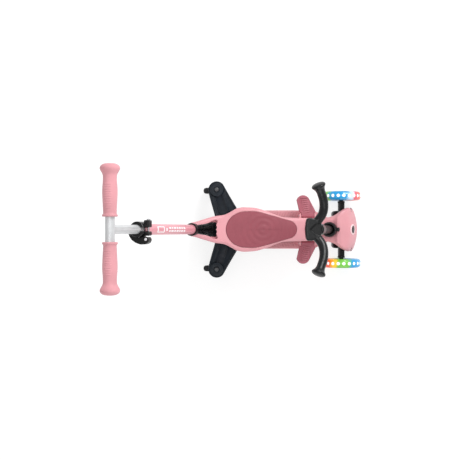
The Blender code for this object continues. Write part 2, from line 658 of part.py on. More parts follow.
def build_footrests():
    for name, side in SIDES:
        root = [(REST_X + 0.0195, REST_AXIS_Y), (REST_X + 0.0195, REST_AXIS_Y + 0.008),
                (REST_X + 0.0245, REST_AXIS_Y + 0.012)]
        tip = arc((REST_X - 0.0140, 0.0835), 0.0205, 25, 165, 6)
        rear = [(REST_X - 0.0255, REST_AXIS_Y + 0.012), (REST_X - 0.0195, REST_AXIS_Y + 0.008),
                (REST_X - 0.0195, REST_AXIS_Y)]
        outline = [(x, y * side) for x, y in root + tip + rear]
        rest = plate(name + "_footrest", outline, REST_AXIS_Z - REST_HALF_THICK,
                     REST_AXIS_Z + REST_HALF_THICK, "dark_pink", edge=0.002)
        barrel = rod(name + "_rest_barrel", 0.0062, (REST_X - 0.0193, side * REST_AXIS_Y, REST_AXIS_Z),
                     (REST_X + 0.0193, side * REST_AXIS_Y, REST_AXIS_Z), None)
        join(rest, barrel)
        cut(rest, rod(name + "_rest_bore", 0.0025 + GAP, (REST_X - 0.04, side * REST_AXIS_Y, REST_AXIS_Z),
                      (REST_X + 0.04, side * REST_AXIS_Y, REST_AXIS_Z), None, segments=10))
        rod(name + "_footrest_pin", 0.0025, (REST_X - 0.0275, side * REST_AXIS_Y, REST_AXIS_Z),
            (REST_X + 0.0275, side * REST_AXIS_Y, REST_AXIS_Z), "steel", segments=10)


# ---------------------------------------------------------------- legs and casters

def build_carrier():
    carrier = block("leg_carrier", (-0.112, -CARRIER_HALF, 0.066), (-0.019, CARRIER_HALF, 0.0985),
                    "leg_black", edge=0.002)
    inside = block("carrier_inside", (-0.13, -DECK_REAR_HALF - GAP, 0.05),
                   (0.0, DECK_REAR_HALF + GAP, DECK_TOP + GAP), None)
    cut(carrier, inside)


def build_leg(name, side):
    tip = arc((SWIVEL_X, SWIVEL_Y), LEG_TIP_RADIUS, 40, 182, 9)
    outline = [(-0.0210, 0.040), (-0.0345, 0.066)] + tip + [(-0.1015, 0.040)]
    leg = plate(name + "_leg", [(x, y * side) for x, y in outline], LEG_BOTTOM, LEG_TOP, "leg_black",
                edge=0.0025)
    y = side * SWIVEL_Y
    cap_seat = rod(name + "_cap_seat", CAP_RADIUS + 0.0004, (SWIVEL_X, y, LEG_TOP - 0.003),
                   (SWIVEL_X, y, LEG_TOP + 0.01), None, segments=20)
    hole = rod(name + "_swivel_hole", 0.004 + GAP, (SWIVEL_X, y, 0.05), (SWIVEL_X, y, 0.12), None)
    groove_end = Vector((-0.0760, 0.060))
    groove_start = Vector((SWIVEL_X + 0.006, SWIVEL_Y - 0.022))
    along = (groove_end - groove_start).normalized()
    across = Vector((-along.y, along.x)) * 0.0115
    angle = math.degrees(math.atan2(across.y, across.x))
    rim = arc(groove_end, 0.0115, angle, angle - 180, 6)
    groove = [tuple(groove_start - across), tuple(groove_start + across)] + rim
    groove_cut = plate(name + "_groove", [(px, py * side) for px, py in groove], LEG_TOP - 0.0018,
                       LEG_TOP + 0.01, None)
    cut(leg, cap_seat, hole, groove_cut)
    turned(name + "_swivel_cap", [(0.0205, 0.0015), (CAP_RADIUS, 0.0), (CAP_RADIUS, -0.0027),
                                  (0.004 + GAP, -0.0027), (0.004 + GAP, 0.0006), (0.0085, 0.0006)],
           "leg_black", place=(SWIVEL_X, y, LEG_TOP), steps=20)
    turned(name + "_swivel_bolt", [(0, 0.0050), (0.0045, 0.0048), (0.0068, 0.0035), (0.0068, 0.0018),
                                   (0.004, 0.0018), (0.004, -0.0440), (0, -0.0440)],
           "leg_black", place=(SWIVEL_X, y, LEG_TOP), closed=False, steps=14)


def build_caster(name, side):
    swivel = frame_at(name + "_swivel", (SWIVEL_X, side * SWIVEL_Y, 0))
    axle_x = -CASTER_TRAIL
    fork = turned(name + "_caster_fork", [(0.0150, 0.0695), (0.0160, 0.0685), (0.0160, 0.0610),
                                          (0.004 + GAP, 0.0610), (0.004 + GAP, 0.0695)],
                  "leg_black", swivel, steps=16)
    lower = arc((axle_x, CASTER_RADIUS), 0.009, 200, 360, 8)
    outline = [(0.0125, 0.0615), (0.0125, 0.0660), (-0.0135, 0.0660), (-0.0150, 0.0550)] + lower
    for edge in (-1, 1):
        middle = edge * 0.0122
        cheek = plate(name + "_cheek", outline, -0.0016, 0.0016, None, swivel)
        cheek.data.transform(Matrix.Translation((0, middle, 0)) @ Matrix.Rotation(math.pi / 2, 4, "X"))
        join(fork, cheek)
    cut(fork, rod(name + "_fork_hole", 0.003 + GAP, (axle_x, -0.03, CASTER_RADIUS),
                  (axle_x, 0.03, CASTER_RADIUS), None, swivel, segments=10))
    turned(name + "_caster_wheel", [(0.0190, CASTER_HALF), (0.0235, 0.0060), (CASTER_RADIUS, 0.0),
                                    (0.0235, -0.0060), (0.0190, -CASTER_HALF),
                                    (0.0070, -CASTER_HALF - 0.0008), (0.003 + GAP, -CASTER_HALF - 0.0008),
                                    (0.003 + GAP, CASTER_HALF + 0.0008),
                                    (0.0070, CASTER_HALF + 0.0008)],
           "rubber", swivel, place=(axle_x, 0, CASTER_RADIUS), axis="Y", steps=24)
    axle = rod(name + "_caster_axle", 0.003, (axle_x, -0.0155, CASTER_RADIUS),
               (axle_x, 0.0142, CASTER_RADIUS), "steel", swivel, segments=10)
    join(axle, rod(name + "_axle_head", 0.0055, (axle_x, 0.0141, CASTER_RADIUS),
                   (axle_x, 0.0165, CASTER_RADIUS), None, swivel, segments=10))


# ---------------------------------------------------------------- push bar

def build_socket():
    socket = rod("rear_socket", SOCKET_RADIUS, (0, 0, -0.012), (0, 0, SOCKET_END - 0.004), "black", POLE,
                 segments=20)
    body = block("socket_block", (-0.0165, -0.0207, -0.014), (0.0185, 0.0207, 0.046), None, POLE, edge=0.003)
    rim = rod("socket_rim", RIM_RADIUS, (0, 0, SOCKET_END - 0.010), (0, 0, SOCKET_END), None, POLE,
              segments=20)
    foot = block("socket_foot", (-0.1300, -0.026, 0.0985 + GAP), (-0.0850, 0.026, 0.1035), None, edge=0.0015)
    join(socket, body, rim, foot)
    below = block("below_carrier", (-0.2, -0.06, 0.05), (0.0, 0.06, 0.0985 + GAP), None)
    bore = rod("socket_bore", POLE_RADIUS + GAP, (0, 0, POLE_START - 0.0005), (0, 0, 0.25), None, POLE,
               segments=20)
    pocket = rod("socket_button_pocket", 0.0055 + GAP, (0.0162, 0, 0.030), (0.03, 0, 0.030), None, POLE)
    cut(socket, below, bore, pocket)
    button = rod("socket_release_button", 0.0055, (0.0184, 0, 0.030), (0.0232, 0, 0.030), "black", POLE)
    bevel(button, 0.0008)


def build_pole():
    turned("lower_pole", [(POLE_RADIUS, POLE_END), (POLE_RADIUS, POLE_START), (POLE_BORE, POLE_START),
                          (POLE_BORE, POLE_END)], "light_pink", POLE, steps=20)
    bar = rod("t_bar", UPPER_RADIUS, (0, 0, UPPER_START), (0, 0, BAR_S), "silver", POLE, segments=20)
    cross = rod("cross_tube", UPPER_RADIUS + 0.00012, (0, -0.146, BAR_S), (0, 0.146, BAR_S), None, POLE,
                segments=20)
    upright_bore = rod("upright_bore", UPPER_BORE, (0, 0, UPPER_START - 0.01), (0, 0, BAR_S), None, POLE,
                       segments=20)
    cross_bore = rod("cross_bore", UPPER_BORE + 0.0003, (0, -0.16, BAR_S), (0, 0.16, BAR_S), None, POLE,
                     segments=20)
    join(bar, cross)
    cut(bar, upright_bore, cross_bore)


def build_clamp():
    collar = turned("clamp_collar", [(0.0180, CLAMP_HIGH), (CLAMP_RADIUS, CLAMP_HIGH - 0.0015),
                                     (CLAMP_RADIUS, CLAMP_LOW + 0.001), (0.0185, CLAMP_LOW),
                                     (POLE_RADIUS + GAP, CLAMP_LOW),
                                     (POLE_RADIUS + GAP, POLE_END + 0.004),
                                     (UPPER_RADIUS + GAP, POLE_END + 0.004),
                                     (UPPER_RADIUS + GAP, CLAMP_HIGH)],
                    "black", POLE, steps=20)
    right_ear = block("clamp_right_ear", (0.0125, -0.0155, CLAMP_LOW + 0.002),
                      (0.0300, -0.0048, CLAMP_HIGH - 0.009), None, POLE, edge=0.002)
    left_ear = block("clamp_left_ear", (0.0125, 0.0048, CLAMP_LOW + 0.002),
                     (0.0300, 0.0230, CLAMP_HIGH - 0.009), None, POLE, edge=0.002)
    join(collar, right_ear, left_ear)
    bolt_s = (CLAMP_LOW + CLAMP_HIGH) / 2 - 0.0035
    split = block("clamp_split", (0.0105, -0.0046, CLAMP_LOW - 0.01), (0.04, 0.0046, CLAMP_HIGH + 0.01),
                  None, POLE)
    bolt_hole = rod("clamp_bolt_hole", 0.0025 + GAP, (CLAMP_BOLT_X, -0.03, bolt_s),
                    (CLAMP_BOLT_X, 0.03, bolt_s), None, POLE, segments=10)
    cut(collar, split, bolt_hole)
    bolt = rod("clamp_bolt", 0.0025, (CLAMP_BOLT_X, -0.0160, bolt_s), (CLAMP_BOLT_X, 0.0240, bolt_s), "steel",
               POLE, segments=10)
    join(bolt, rod("clamp_nut", 0.0048, (CLAMP_BOLT_X, 0.0234, bolt_s), (CLAMP_BOLT_X, 0.0262, bolt_s),
                   None, POLE, segments=6))
    lever_low = CLAMP_LOW + 0.006
    lever_high = CLAMP_HIGH - 0.011
    rod("clamp_lever_pin", 0.0036, (LEVER_X, LEVER_Y, lever_low - 0.002),
        (LEVER_X, LEVER_Y, lever_high + 0.002), "steel", POLE, segments=10)
    outer = [(0.0280, -0.0270), (0.0255, -0.0330), (0.0180, -0.0365), (0.0050, -0.0370), (-0.0080, -0.0330),
             (-0.0190, -0.0260), (-0.0265, -0.0150), (-0.0290, -0.0020), (-0.0265, 0.0100)]
    inner = [(-0.0225, 0.0075), (-0.0222, -0.0030), (-0.0185, -0.0125), (-0.0110, -0.0195), (0.0000, -0.0222),
             (0.0110, -0.0212), (0.0150, -0.0184), (0.0250, -0.0184)]
    lever = plate("clamp_lever", outer + inner, lever_low, lever_high, "black", POLE, edge=0.0012)
    cut(lever, rod("lever_hole", 0.0036 + GAP, (LEVER_X, LEVER_Y, lever_low - 0.01),
                   (LEVER_X, LEVER_Y, lever_high + 0.01), None, POLE, segments=10))


def build_grips():
    bulb = GRIP_END - 0.0045
    profile = [(0, GRIP_END), (0.0165, GRIP_END), (0.0222, GRIP_END - 0.0025), (0.0235, GRIP_END - 0.0085),
               (0.0215, GRIP_END - 0.0155), (0.0170, GRIP_END - 0.0215), (0.0158, GRIP_END - 0.0280),
               (0.0165, GRIP_END - 0.0380), (0.0180, 0.088), (0.0170, 0.060), (0.0157, 0.040),
               (0.0160, 0.0350), (0.0180, 0.0330), (0.0180, 0.0300), (0.0168, GRIP_START),
               (UPPER_RADIUS + GAP, GRIP_START), (UPPER_RADIUS + GAP, bulb), (0, bulb)]
    for name, side in SIDES:
        turned(name + "_grip", profile, "light_pink", POLE, place=(0, 0, BAR_S),
               axis="Y" if side > 0 else "-Y", closed=False, steps=18)


COLUMN = frame_at("column_frame", (COLUMN_X, 0, COLUMN_Z), COLUMN_TILT)
LOCK = frame_at("lock_frame", (LOCK_X, 0, LOCK_Z), LOCK_TILT)
SEAT = frame_at("seat_frame", (0, 0, SEAT_TOP), math.atan(SEAT_FALL))
POLE = frame_at("pole_frame", (POLE_X, 0, POLE_Z), POLE_TILT)

build_deck()
build_rear_wheel()
build_truck()
build_front_wheels()
build_nose()
build_column()
build_handlebar()
build_seat()
build_footrests()
build_carrier()
for side_name, side_sign in SIDES:
    build_leg(side_name, side_sign)
    build_caster(side_name, side_sign)
build_socket()
build_pole()
build_clamp()
build_grips()
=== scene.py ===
"""Looks of the child's kick scooter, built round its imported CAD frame.

The frame gives every place and size. Most visible CAD solids are replaced by a
finer piece of the same shape, which rides on the same body.
"""
import json
import math

import bmesh
import bpy
from mathutils import Matrix, Vector


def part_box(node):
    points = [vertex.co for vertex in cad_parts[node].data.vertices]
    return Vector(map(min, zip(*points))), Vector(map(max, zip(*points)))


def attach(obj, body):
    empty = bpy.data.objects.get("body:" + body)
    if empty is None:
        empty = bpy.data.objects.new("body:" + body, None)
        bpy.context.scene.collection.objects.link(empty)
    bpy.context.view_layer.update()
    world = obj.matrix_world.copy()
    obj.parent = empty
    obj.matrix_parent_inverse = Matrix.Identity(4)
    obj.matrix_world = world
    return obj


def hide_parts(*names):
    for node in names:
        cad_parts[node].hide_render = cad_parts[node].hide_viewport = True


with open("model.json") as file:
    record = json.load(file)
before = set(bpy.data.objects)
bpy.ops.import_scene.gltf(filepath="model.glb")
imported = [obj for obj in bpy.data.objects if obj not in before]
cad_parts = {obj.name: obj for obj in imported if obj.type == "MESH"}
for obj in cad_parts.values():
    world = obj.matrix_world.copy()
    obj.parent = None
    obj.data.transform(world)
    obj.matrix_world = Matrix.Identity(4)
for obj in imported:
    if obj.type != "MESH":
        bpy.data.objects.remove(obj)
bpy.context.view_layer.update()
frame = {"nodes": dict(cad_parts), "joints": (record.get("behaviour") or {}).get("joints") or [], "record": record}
NODES = frame["nodes"]
BODY_OF = {node: body for body, members in frame["record"]["behaviour"]["bodies"].items() for node in members}
SLOT_OF = {part["node"]: part["material_slot"] for part in frame["record"]["subparts"]}
JOINTS = {joint["name"]: joint for joint in frame["joints"]}
SIDES = (("left", 1), ("right", -1))
GAP = 0.0003              # the clearance between neighbouring pieces
LID_INSET = 0.0004        # how far inside its round edge a slab's flat face begins
WELD = 0.000005           # corner points closer than this are one

bpy.context.scene.view_settings.view_transform = "Standard"


# ---- places from the frame

def tilted(place, tilt):
    return Matrix.Translation(place) @ Matrix.Rotation(tilt, 4, "Y")


def tilt_of(joint_name):
    """The angle about Y that turns +Z onto a joint's axis."""
    x, y, z = JOINTS[joint_name]["axis"]
    return math.atan2(x, z)


WORLD = Matrix.Identity(4)
AXLE = Vector(JOINTS["left_wheel_spin"]["pos_m"])
KINGPIN = Vector(JOINTS["left_steer"]["pos_m"])
TRUCK = tilted((KINGPIN.x, 0, KINGPIN.z), tilt_of("left_steer"))
COLUMN = tilted((0.2445, 0, 0.135), tilt_of("column_release_press") - math.pi / 2)
LOCK = tilted((0.3235, 0, 0.098), tilt_of("steering_lock_press"))
SEAT = tilted((0, 0, 0.2265), math.atan(0.055))
POLE = tilted((-0.1098, 0, 0.1), tilt_of("push_bar_height"))
SWIVEL = Vector(JOINTS["left_caster_swivel"]["pos_m"])
FOLD = Vector(JOINTS["left_footrest_fold"]["pos_m"])
REAR = Vector(JOINTS["rear_wheel_spin"]["pos_m"])
DECK_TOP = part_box("deck")[1].z
BAR_S = 0.6852            # the grips' axis, measured along the pole
TYRE_RADIUS = 0.0605
LAMP_RADIUS = 0.0049
LAMP_COUNT = 22.0


# ---- materials

def settled(thing, settings):
    for key, value in settings.items():
        setattr(thing, key, value)
    return thing


def link(tree, source, target):
    tree.links.new(source, target)


def made(tree, kind, inputs, output=0, **settings):
    """A new node whose inputs get a value or a link each; gives back one of its outputs."""
    node = settled(tree.nodes.new(kind), settings)
    for key, value in inputs.items():
        if isinstance(value, bpy.types.NodeSocket):
            link(tree, value, node.inputs[key])
        else:
            node.inputs[key].default_value = value
    return node.outputs[output]


def noise_at(tree, place, scale, detail=2.0):
    return made(tree, "ShaderNodeTexNoise", {"Vector": place, "Scale": scale, "Detail": detail}, "Fac")


def spread(tree, value, low, high, start=0.35, end=0.65):
    """The value's range from start to end, brought to low to high."""
    return made(tree, "ShaderNodeMapRange", {
        "Value": value, "From Min": start, "From Max": end, "To Min": low, "To Max": high}, "Result")


def mixed(tree, factor, first, second, mode="MIX"):
    return made(tree, "ShaderNodeMix", {0: factor, 6: first, 7: second}, 2, data_type="RGBA", blend_type=mode)


def math_node(tree, operation, *values):
    return made(tree, "ShaderNodeMath", dict(enumerate(values)), operation=operation)


def shaded(colour, share):
    """The colour made darker or lighter, with full opacity."""
    return (*(channel * share for channel in colour), 1.0)


def new_surface(name, values):
    """A material with its node tree and its shader, whose sockets get the values."""
    surface = bpy.data.materials.new(name)
    surface.use_nodes = True
    shader = surface.node_tree.nodes["Principled BSDF"]
    for socket, value in values.items():
        shader.inputs[socket].default_value = value
    return surface, surface.node_tree, shader


def finish_material(name, colour, roughness, metallic=0.0, variation=0.05, grain=2200.0, grain_depth=0.00004,
                    gloss_spread=0.07, coat=0.0, sheen=0.0, specular=0.5, stretch=(1, 1, 1)):
    """A surface with slow colour drift, uneven gloss and a fine moulded or brushed grain."""
    surface, tree, shader = new_surface(name, {
        "Metallic": metallic, "Coat Weight": coat, "Sheen Weight": sheen, "Specular IOR Level": specular})
    place = made(tree, "ShaderNodeTexCoord", {}, "Object")
    tone = spread(tree, noise_at(tree, place, 18.0), 0.0, 1.0)
    base = mixed(tree, tone, shaded(colour, 1.0 - variation), shaded(colour, 1.0 + variation * 0.5))
    smear = noise_at(tree, place, 90.0, 3.0)
    gloss = spread(tree, smear, roughness - gloss_spread, roughness + gloss_spread)
    grain_place = made(tree, "ShaderNodeMapping", {"Vector": place, "Scale": stretch})
    height = noise_at(tree, grain_place, grain, 1.0)
    bump = made(tree, "ShaderNodeBump", {"Strength": 0.35, "Distance": grain_depth, "Height": height})
    for socket, source in (("Base Color", base), ("Roughness", gloss), ("Normal", bump)):
        link(tree, source, shader.inputs[socket])
    return surface


def band_ramp(tree, band, place):
    """The band's colours at places from 0 to 1 round the tyre: over its top, and mirrored along its foot."""
    colour = made(tree, "ShaderNodeValToRGB", {"Fac": place})
    ramp = colour.node.color_ramp
    ramp.interpolation = "EASE"
    stops = sorted([(0.5 + 0.5 * share, shade) for share, shade in band]
                   + [(0.5 - 0.5 * share, shade) for share, shade in band])
    ramp.elements[0].position, ramp.elements[1].position = stops[0][0], stops[-1][0]
    for share, _ in stops[1:-1]:
        ramp.elements.new(share)
    for element, (_, shade) in zip(ramp.elements, stops):
        element.color = (*shade, 1.0)
    return colour


def tyre_material(name, side):
    """Clear urethane lit from inside: a band of colours round the tyre with round lamps along its tread."""
    surface, tree, shader = new_surface(name, {
        "Roughness": 0.22, "Coat Weight": 0.4, "Emission Strength": 0.3})

    def maths(operation, *values):
        return math_node(tree, operation, *values)

    place = made(tree, "ShaderNodeTexCoord", {}, "Object")
    centre = (AXLE.x, side * AXLE.y, AXLE.z)
    centred = made(tree, "ShaderNodeVectorMath", {0: place, 1: centre}, operation="SUBTRACT")
    x, y, z = made(tree, "ShaderNodeSeparateXYZ", {0: centred}).node.outputs
    turn = maths("DIVIDE", maths("ADD", maths("ARCTAN2", z, x), math.pi), 2 * math.pi)
    wobble = maths("MULTIPLY", maths("SUBTRACT", noise_at(tree, place, 45.0), 0.5), 0.1)
    on_band = maths("FRACT", maths("ADD", maths("SUBTRACT", 1.5, turn), wobble))
    band = band_ramp(tree, LEFT_BAND if side > 0 else RIGHT_BAND, on_band)
    across = maths("DIVIDE", y, LAMP_RADIUS)
    from_lamp = maths("SUBTRACT", maths("FRACT", maths("MULTIPLY", turn, LAMP_COUNT)), 0.5)
    along = maths("DIVIDE", from_lamp, LAMP_RADIUS * LAMP_COUNT / (2 * math.pi * TYRE_RADIUS))
    reach = maths("SQRT", maths("ADD", maths("MULTIPLY", across, across), maths("MULTIPLY", along, along)))
    lamp = spread(tree, reach, 1.0, 0.0, 0.80, 1.15)
    edge = spread(tree, maths("ABSOLUTE", y), 1.0, 0.72, 0.008, 0.014)
    grey = made(tree, "ShaderNodeCombineColor", dict.fromkeys(range(3), edge))
    colour = mixed(tree, lamp, mixed(tree, 1.0, band, grey, "MULTIPLY"), (0.97, 0.98, 1.0, 1.0))
    link(tree, colour, shader.inputs["Base Color"])
    link(tree, colour, shader.inputs["Emission Color"])
    return surface


GREEN, BLUE, PALE = (0.15, 0.47, 0.05), (0.008, 0.27, 0.56), (0.55, 0.68, 0.82)
ROSE, RED, YELLOW = (0.62, 0.1, 0.13), (0.78, 0.07, 0.02), (0.9, 0.55, 0.03)
# Shares run from the rear of the wheel (0) over its top to the front (1).
LEFT_BAND = [(0.06, GREEN), (0.2, GREEN), (0.3, BLUE), (0.55, BLUE), (0.64, PALE), (0.73, ROSE), (0.86, RED)]
RIGHT_BAND = [(0.06, RED), (0.22, RED), (0.33, YELLOW), (0.45, GREEN), (0.55, GREEN), (0.66, BLUE),
              (0.9, BLUE)]

# Each look is its colour, its roughness, and what else differs from the usual surface.
LOOKS = {
    "pink_plastic": ((0.7, 0.315, 0.35), 0.42, dict(variation=0.035)),
    "pink_grip": ((0.66, 0.295, 0.328), 0.6, dict(variation=0.06, grain=1500.0, grain_depth=0.00008,
                                                  sheen=0.15, specular=0.35)),
    "pink_paint": ((0.72, 0.29, 0.34), 0.36, dict(variation=0.03, grain=1100.0, grain_depth=0.00002,
                                                  coat=0.25)),
    "rose_pad": ((0.3, 0.07, 0.093), 0.55, dict(variation=0.05, grain=1300.0, grain_depth=0.0001,
                                                specular=0.35, sheen=0.1)),
    "rose_plastic": ((0.4, 0.112, 0.148), 0.42, dict(variation=0.06)),
    "black_plastic": ((0.006, 0.0064, 0.0072), 0.3, dict(variation=0.2, grain=1800.0, grain_depth=0.00005,
                                                         specular=0.32)),
    "slate_plastic": ((0.0045, 0.0095, 0.0165), 0.36, dict(variation=0.2, grain=1800.0,
                                                           grain_depth=0.00006, specular=0.22)),
    "bar_aluminium": ((0.66, 0.67, 0.68), 0.5, dict(metallic=0.5, variation=0.06, grain=900.0,
                                                    grain_depth=0.00003, stretch=(1.0, 1.0, 0.15))),
    "steel": ((0.56, 0.56, 0.58), 0.3, dict(metallic=1.0, variation=0.1, grain=1500.0,
                                            grain_depth=0.00002)),
    "wheel_core": ((0.8, 0.83, 0.86), 0.3, dict(variation=0.04, coat=0.3)),
    "black_rubber": ((0.02, 0.02, 0.022), 0.78, dict(variation=0.25, grain=1000.0, grain_depth=0.00012,
                                                     specular=0.25)),
    "decal_white": ((0.9, 0.86, 0.87), 0.45, dict(variation=0.02)),
    # A lighter copy of rose_plastic: painted highlight for the bars on the footrests.
    "rose_rib_painted_highlight": ((0.5, 0.165, 0.205), 0.42, dict(variation=0.04)),
    # A darker copy of pink_plastic: painted shade for the grip ribs on the deck.
    "pink_rib_painted_shade": ((0.655, 0.262, 0.297), 0.42, dict(variation=0.04)),
    "bright_pin": ((0.72, 0.72, 0.74), 0.45, dict(metallic=0.35, variation=0.05)),
    "bolt_grey": ((0.075, 0.078, 0.082), 0.4, dict(metallic=0.3, variation=0.1)),
    # A light pink whose lightness is a painted highlight, for the ring round the lock button.
    "bezel_painted_highlight": ((0.86, 0.62, 0.64), 0.3, dict(variation=0.02, coat=0.3)),
    "gloss_black_tube": ((0.006, 0.0065, 0.007), 0.45, dict(variation=0.1, grain_depth=0.00001,
                                                            gloss_spread=0.03, specular=0.12)),
}
MATERIALS = {name: finish_material(name, colour, roughness, **rest)
             for name, (colour, roughness, rest) in LOOKS.items()}
MATERIALS.update((name + "_tyre_lit", tyre_material(name + "_tyre_lit", side)) for name, side in SIDES)


# ---- mesh tools

def smooth_line(points, steps):
    """A Catmull-Rom line through the points, with so many steps between each pair."""
    path = [Vector(point) for point in points]
    path = path[:1] + path + path[-1:]
    fine = []
    for before, here, there, after in zip(path, path[1:], path[2:], path[3:]):
        for k in range(steps):
            t = k / steps
            fine.append(0.5 * (2 * here + (there - before) * t
                               + (2 * before - 5 * here + 4 * there - after) * t * t
                               + (3 * here - before - 3 * there + after) * t ** 3))
    return fine + [path[-1]]


def rounded(points, radius, closed=True, count=5):
    """The outline with each corner replaced by an arc; a point may carry its own radius third."""
    result = []
    total = len(points)
    for i, point in enumerate(points):
        here = Vector(point[:2])
        if not closed and i in (0, total - 1):
            result.append(tuple(here))
            continue
        before, after = Vector(points[i - 1][:2]), Vector(points[(i + 1) % total][:2])
        first, second = before - here, after - here
        wanted = point[2] if len(point) > 2 else radius
        bend = first.angle(second, math.pi)
        if wanted <= 0 or bend > math.radians(176):
            result.append(tuple(here))
            continue
        reach = min(wanted / math.tan(bend / 2), first.length * 0.49, second.length * 0.49)
        start, end = here + first.normalized() * reach, here + second.normalized() * reach
        for k in range(count + 1):
            t = k / count
            result.append(tuple((1 - t) ** 2 * start + 2 * t * (1 - t) * here + t * t * end))
    return result


def arc(centre, radius, start, end, count):
    steps = [math.radians(start + (end - start) * i / count) for i in range(count + 1)]
    return [(centre[0] + radius * math.cos(a), centre[1] + radius * math.sin(a)) for a in steps]


def both_sides(half):
    """A closed outline from its left half, listed from front to rear or rear to front."""
    return half + [(x, -y) for x, y in reversed(half) if abs(y) > 1e-6]


def table_line(table, x):
    """The value at x of a table of (x, value) rows, on a smooth curve that doesn't overshoot."""
    rows = sorted(table)
    x = min(max(x, rows[0][0]), rows[-1][0])
    slopes = [(b[1] - a[1]) / (b[0] - a[0]) for a, b in zip(rows, rows[1:])]
    tangents = [slopes[0]]
    for before, after in zip(slopes, slopes[1:]):
        tangents.append(0.0 if before * after <= 0 else 2 * before * after / (before + after))
    tangents.append(slopes[-1])
    for i, (a, b) in enumerate(zip(rows, rows[1:])):
        if x <= b[0]:
            width = b[0] - a[0]
            t = (x - a[0]) / width
            return ((2 * t ** 3 - 3 * t * t + 1) * a[1] + (t ** 3 - 2 * t * t + t) * width * tangents[i]
                    + (3 * t * t - 2 * t ** 3) * b[1] + (t ** 3 - t * t) * width * tangents[i + 1])


def metres(rows):
    """Rows of millimetres as rows of metres."""
    return [tuple(value / 1000 for value in row) for row in rows]


def mirrored(outline, side):
    return [(x, y * side) for x, y in outline]


def strip_cap(shape, ring):
    """Closes a ring that is its own mirror image with strips from side to side."""
    last = len(ring) - 1
    for i in range((last + 1) // 2):
        corners = (ring[i], ring[i + 1], ring[last - i - 1], ring[last - i])
        if len(set(corners)) > 2:
            shape.faces.new(dict.fromkeys(corners))


def rings_shape(rings, wrap=False, strips=False):
    """A shape with faces between rings of points; a ring of one point is a tip."""
    shape = bmesh.new()
    rings = [[shape.verts.new(point) for point in ring] for ring in rings]
    for low, high in zip(rings, rings[1:] + rings[:1] if wrap else rings[1:]):
        count = max(len(low), len(high))
        for k in range(count if count > 1 else 0):
            after = (k + 1) % count
            if len(low) == 1:
                corners = (low[0], high[after], high[k])
            elif len(high) == 1:
                corners = (low[k], low[after], high[0])
            else:
                corners = (low[k], low[after], high[after], high[k])
            shape.faces.new(corners)
    for ring in () if wrap else (rings[0], rings[-1]):
        if len(ring) > 2 and strips:
            strip_cap(shape, ring)
        elif len(ring) > 2:
            shape.faces.new(ring)
    return shape


def lathe(profile, closed=True, steps=72):
    """A ring or a solid of revolution about Z from (radius, height) points."""
    turns = [2 * math.pi * k / steps for k in range(steps)]
    rings = [[(radius * math.cos(a), radius * math.sin(a), height) for a in (turns if radius > 1e-6 else [0])]
             for radius, height in profile]
    return rings_shape(rings, wrap=closed)


def turned(profile, closed=True, steps=72, round_by=0.0008):
    """A turned solid from a profile in millimetres, with its corners rounded."""
    return lathe(rounded(metres(profile), round_by, closed=closed, count=3), closed, steps)


def two_faced(half):
    """A closed profile from its part above the middle, listed from the outside in."""
    return [(radius, -height, *more) for radius, height, *more in half] + half[::-1]


def inset(outline, distance):
    """The outline moved inwards; it runs counter-clockwise."""
    result = []
    for before, here, after in zip(outline[-1:] + outline, outline, outline[1:] + outline[:1]):
        before, here, after = Vector(before), Vector(here), Vector(after)
        first, second = (here - before).normalized(), (after - here).normalized()
        normal = Vector((-first.y - second.y, first.x + second.x))
        share = normal.length / 2
        if share >= 1e-6:
            here += normal.normalized() * distance / max(share, 0.5)
        result.append(tuple(here))
    return result


def anticlockwise(outline):
    area = sum(a[0] * b[1] - b[0] * a[1] for a, b in zip(outline, outline[1:] + outline[:1]))
    return outline if area > 0 else outline[::-1]


def slab(outline, low, high, edge=0.002, steps=4, floor_edge=None):
    """A flat outline with vertical sides and round edges at the top and the bottom."""
    outline = anticlockwise([tuple(point[:2]) for point in outline])
    floor_edge = edge if floor_edge is None else floor_edge
    turns = [math.pi / 2 * k / steps for k in range(steps + 1)]
    levels = [(floor_edge + LID_INSET if floor_edge else 0.0, low)]
    if floor_edge:
        levels += [(floor_edge * (1 - math.sin(a)), low + floor_edge * (1 - math.cos(a))) for a in turns]
    if edge:
        levels += [(edge * (1 - math.cos(a)), high - edge * (1 - math.sin(a))) for a in turns]
    levels.append((edge + LID_INSET if edge else 0.0, high))
    rings = [[(x, y, z) for x, y in inset(outline, distance)] for distance, z in levels]
    return rings_shape(rings)


def aimed(start, direction):
    """A frame at the start whose Z runs along the direction."""
    return Matrix.Translation(start) @ direction.to_track_quat("Z", "Y").to_matrix().to_4x4()


def rod(radius, start, end, steps=40, edge=0.0006):
    """A round bar between two points with slightly rounded rims."""
    start, end = Vector(start), Vector(end)
    rim = [(0, 0), (radius - edge, 0), (radius - edge * 0.3, edge * 0.3), (radius, edge)]
    profile = rim + [(r, (end - start).length - height) for r, height in reversed(rim)]
    shape = lathe(profile, closed=False, steps=steps)
    bmesh.ops.transform(shape, matrix=aimed(start, end - start), verts=shape.verts)
    return shape


def block(start, end, edge=0.001):
    """A box between two opposite corners."""
    low, high = (Vector(pick(pair) for pair in zip(start, end)) for pick in (min, max))
    shape = bmesh.new()
    bmesh.ops.create_cube(shape, size=1.0)
    bmesh.ops.scale(shape, vec=high - low, verts=shape.verts)
    bmesh.ops.translate(shape, vec=(low + high) / 2, verts=shape.verts)
    if edge:
        bmesh.ops.bevel(shape, geom=shape.edges[:], offset=edge, segments=3, affect="EDGES", profile=0.5)
    return shape


def sweep(path, radii, sides=28, flat=1.0):
    """A bar along a path; flat is its height against its width."""
    turns = [2 * math.pi * k / sides for k in range(sides)]
    rings = []
    for i, here in enumerate(path):
        along = (path[min(i + 1, len(path) - 1)] - path[max(i - 1, 0)]).normalized()
        across = Vector((0, 0, 1)).cross(along).normalized()
        up = along.cross(across)
        rings.append([here + (across * math.cos(a) + up * math.sin(a) * flat) * radii[i] for a in turns])
    return rings_shape(rings)


def placed(name, data):
    item = bpy.data.objects.new(name, data)
    bpy.context.scene.collection.objects.link(item)
    return item


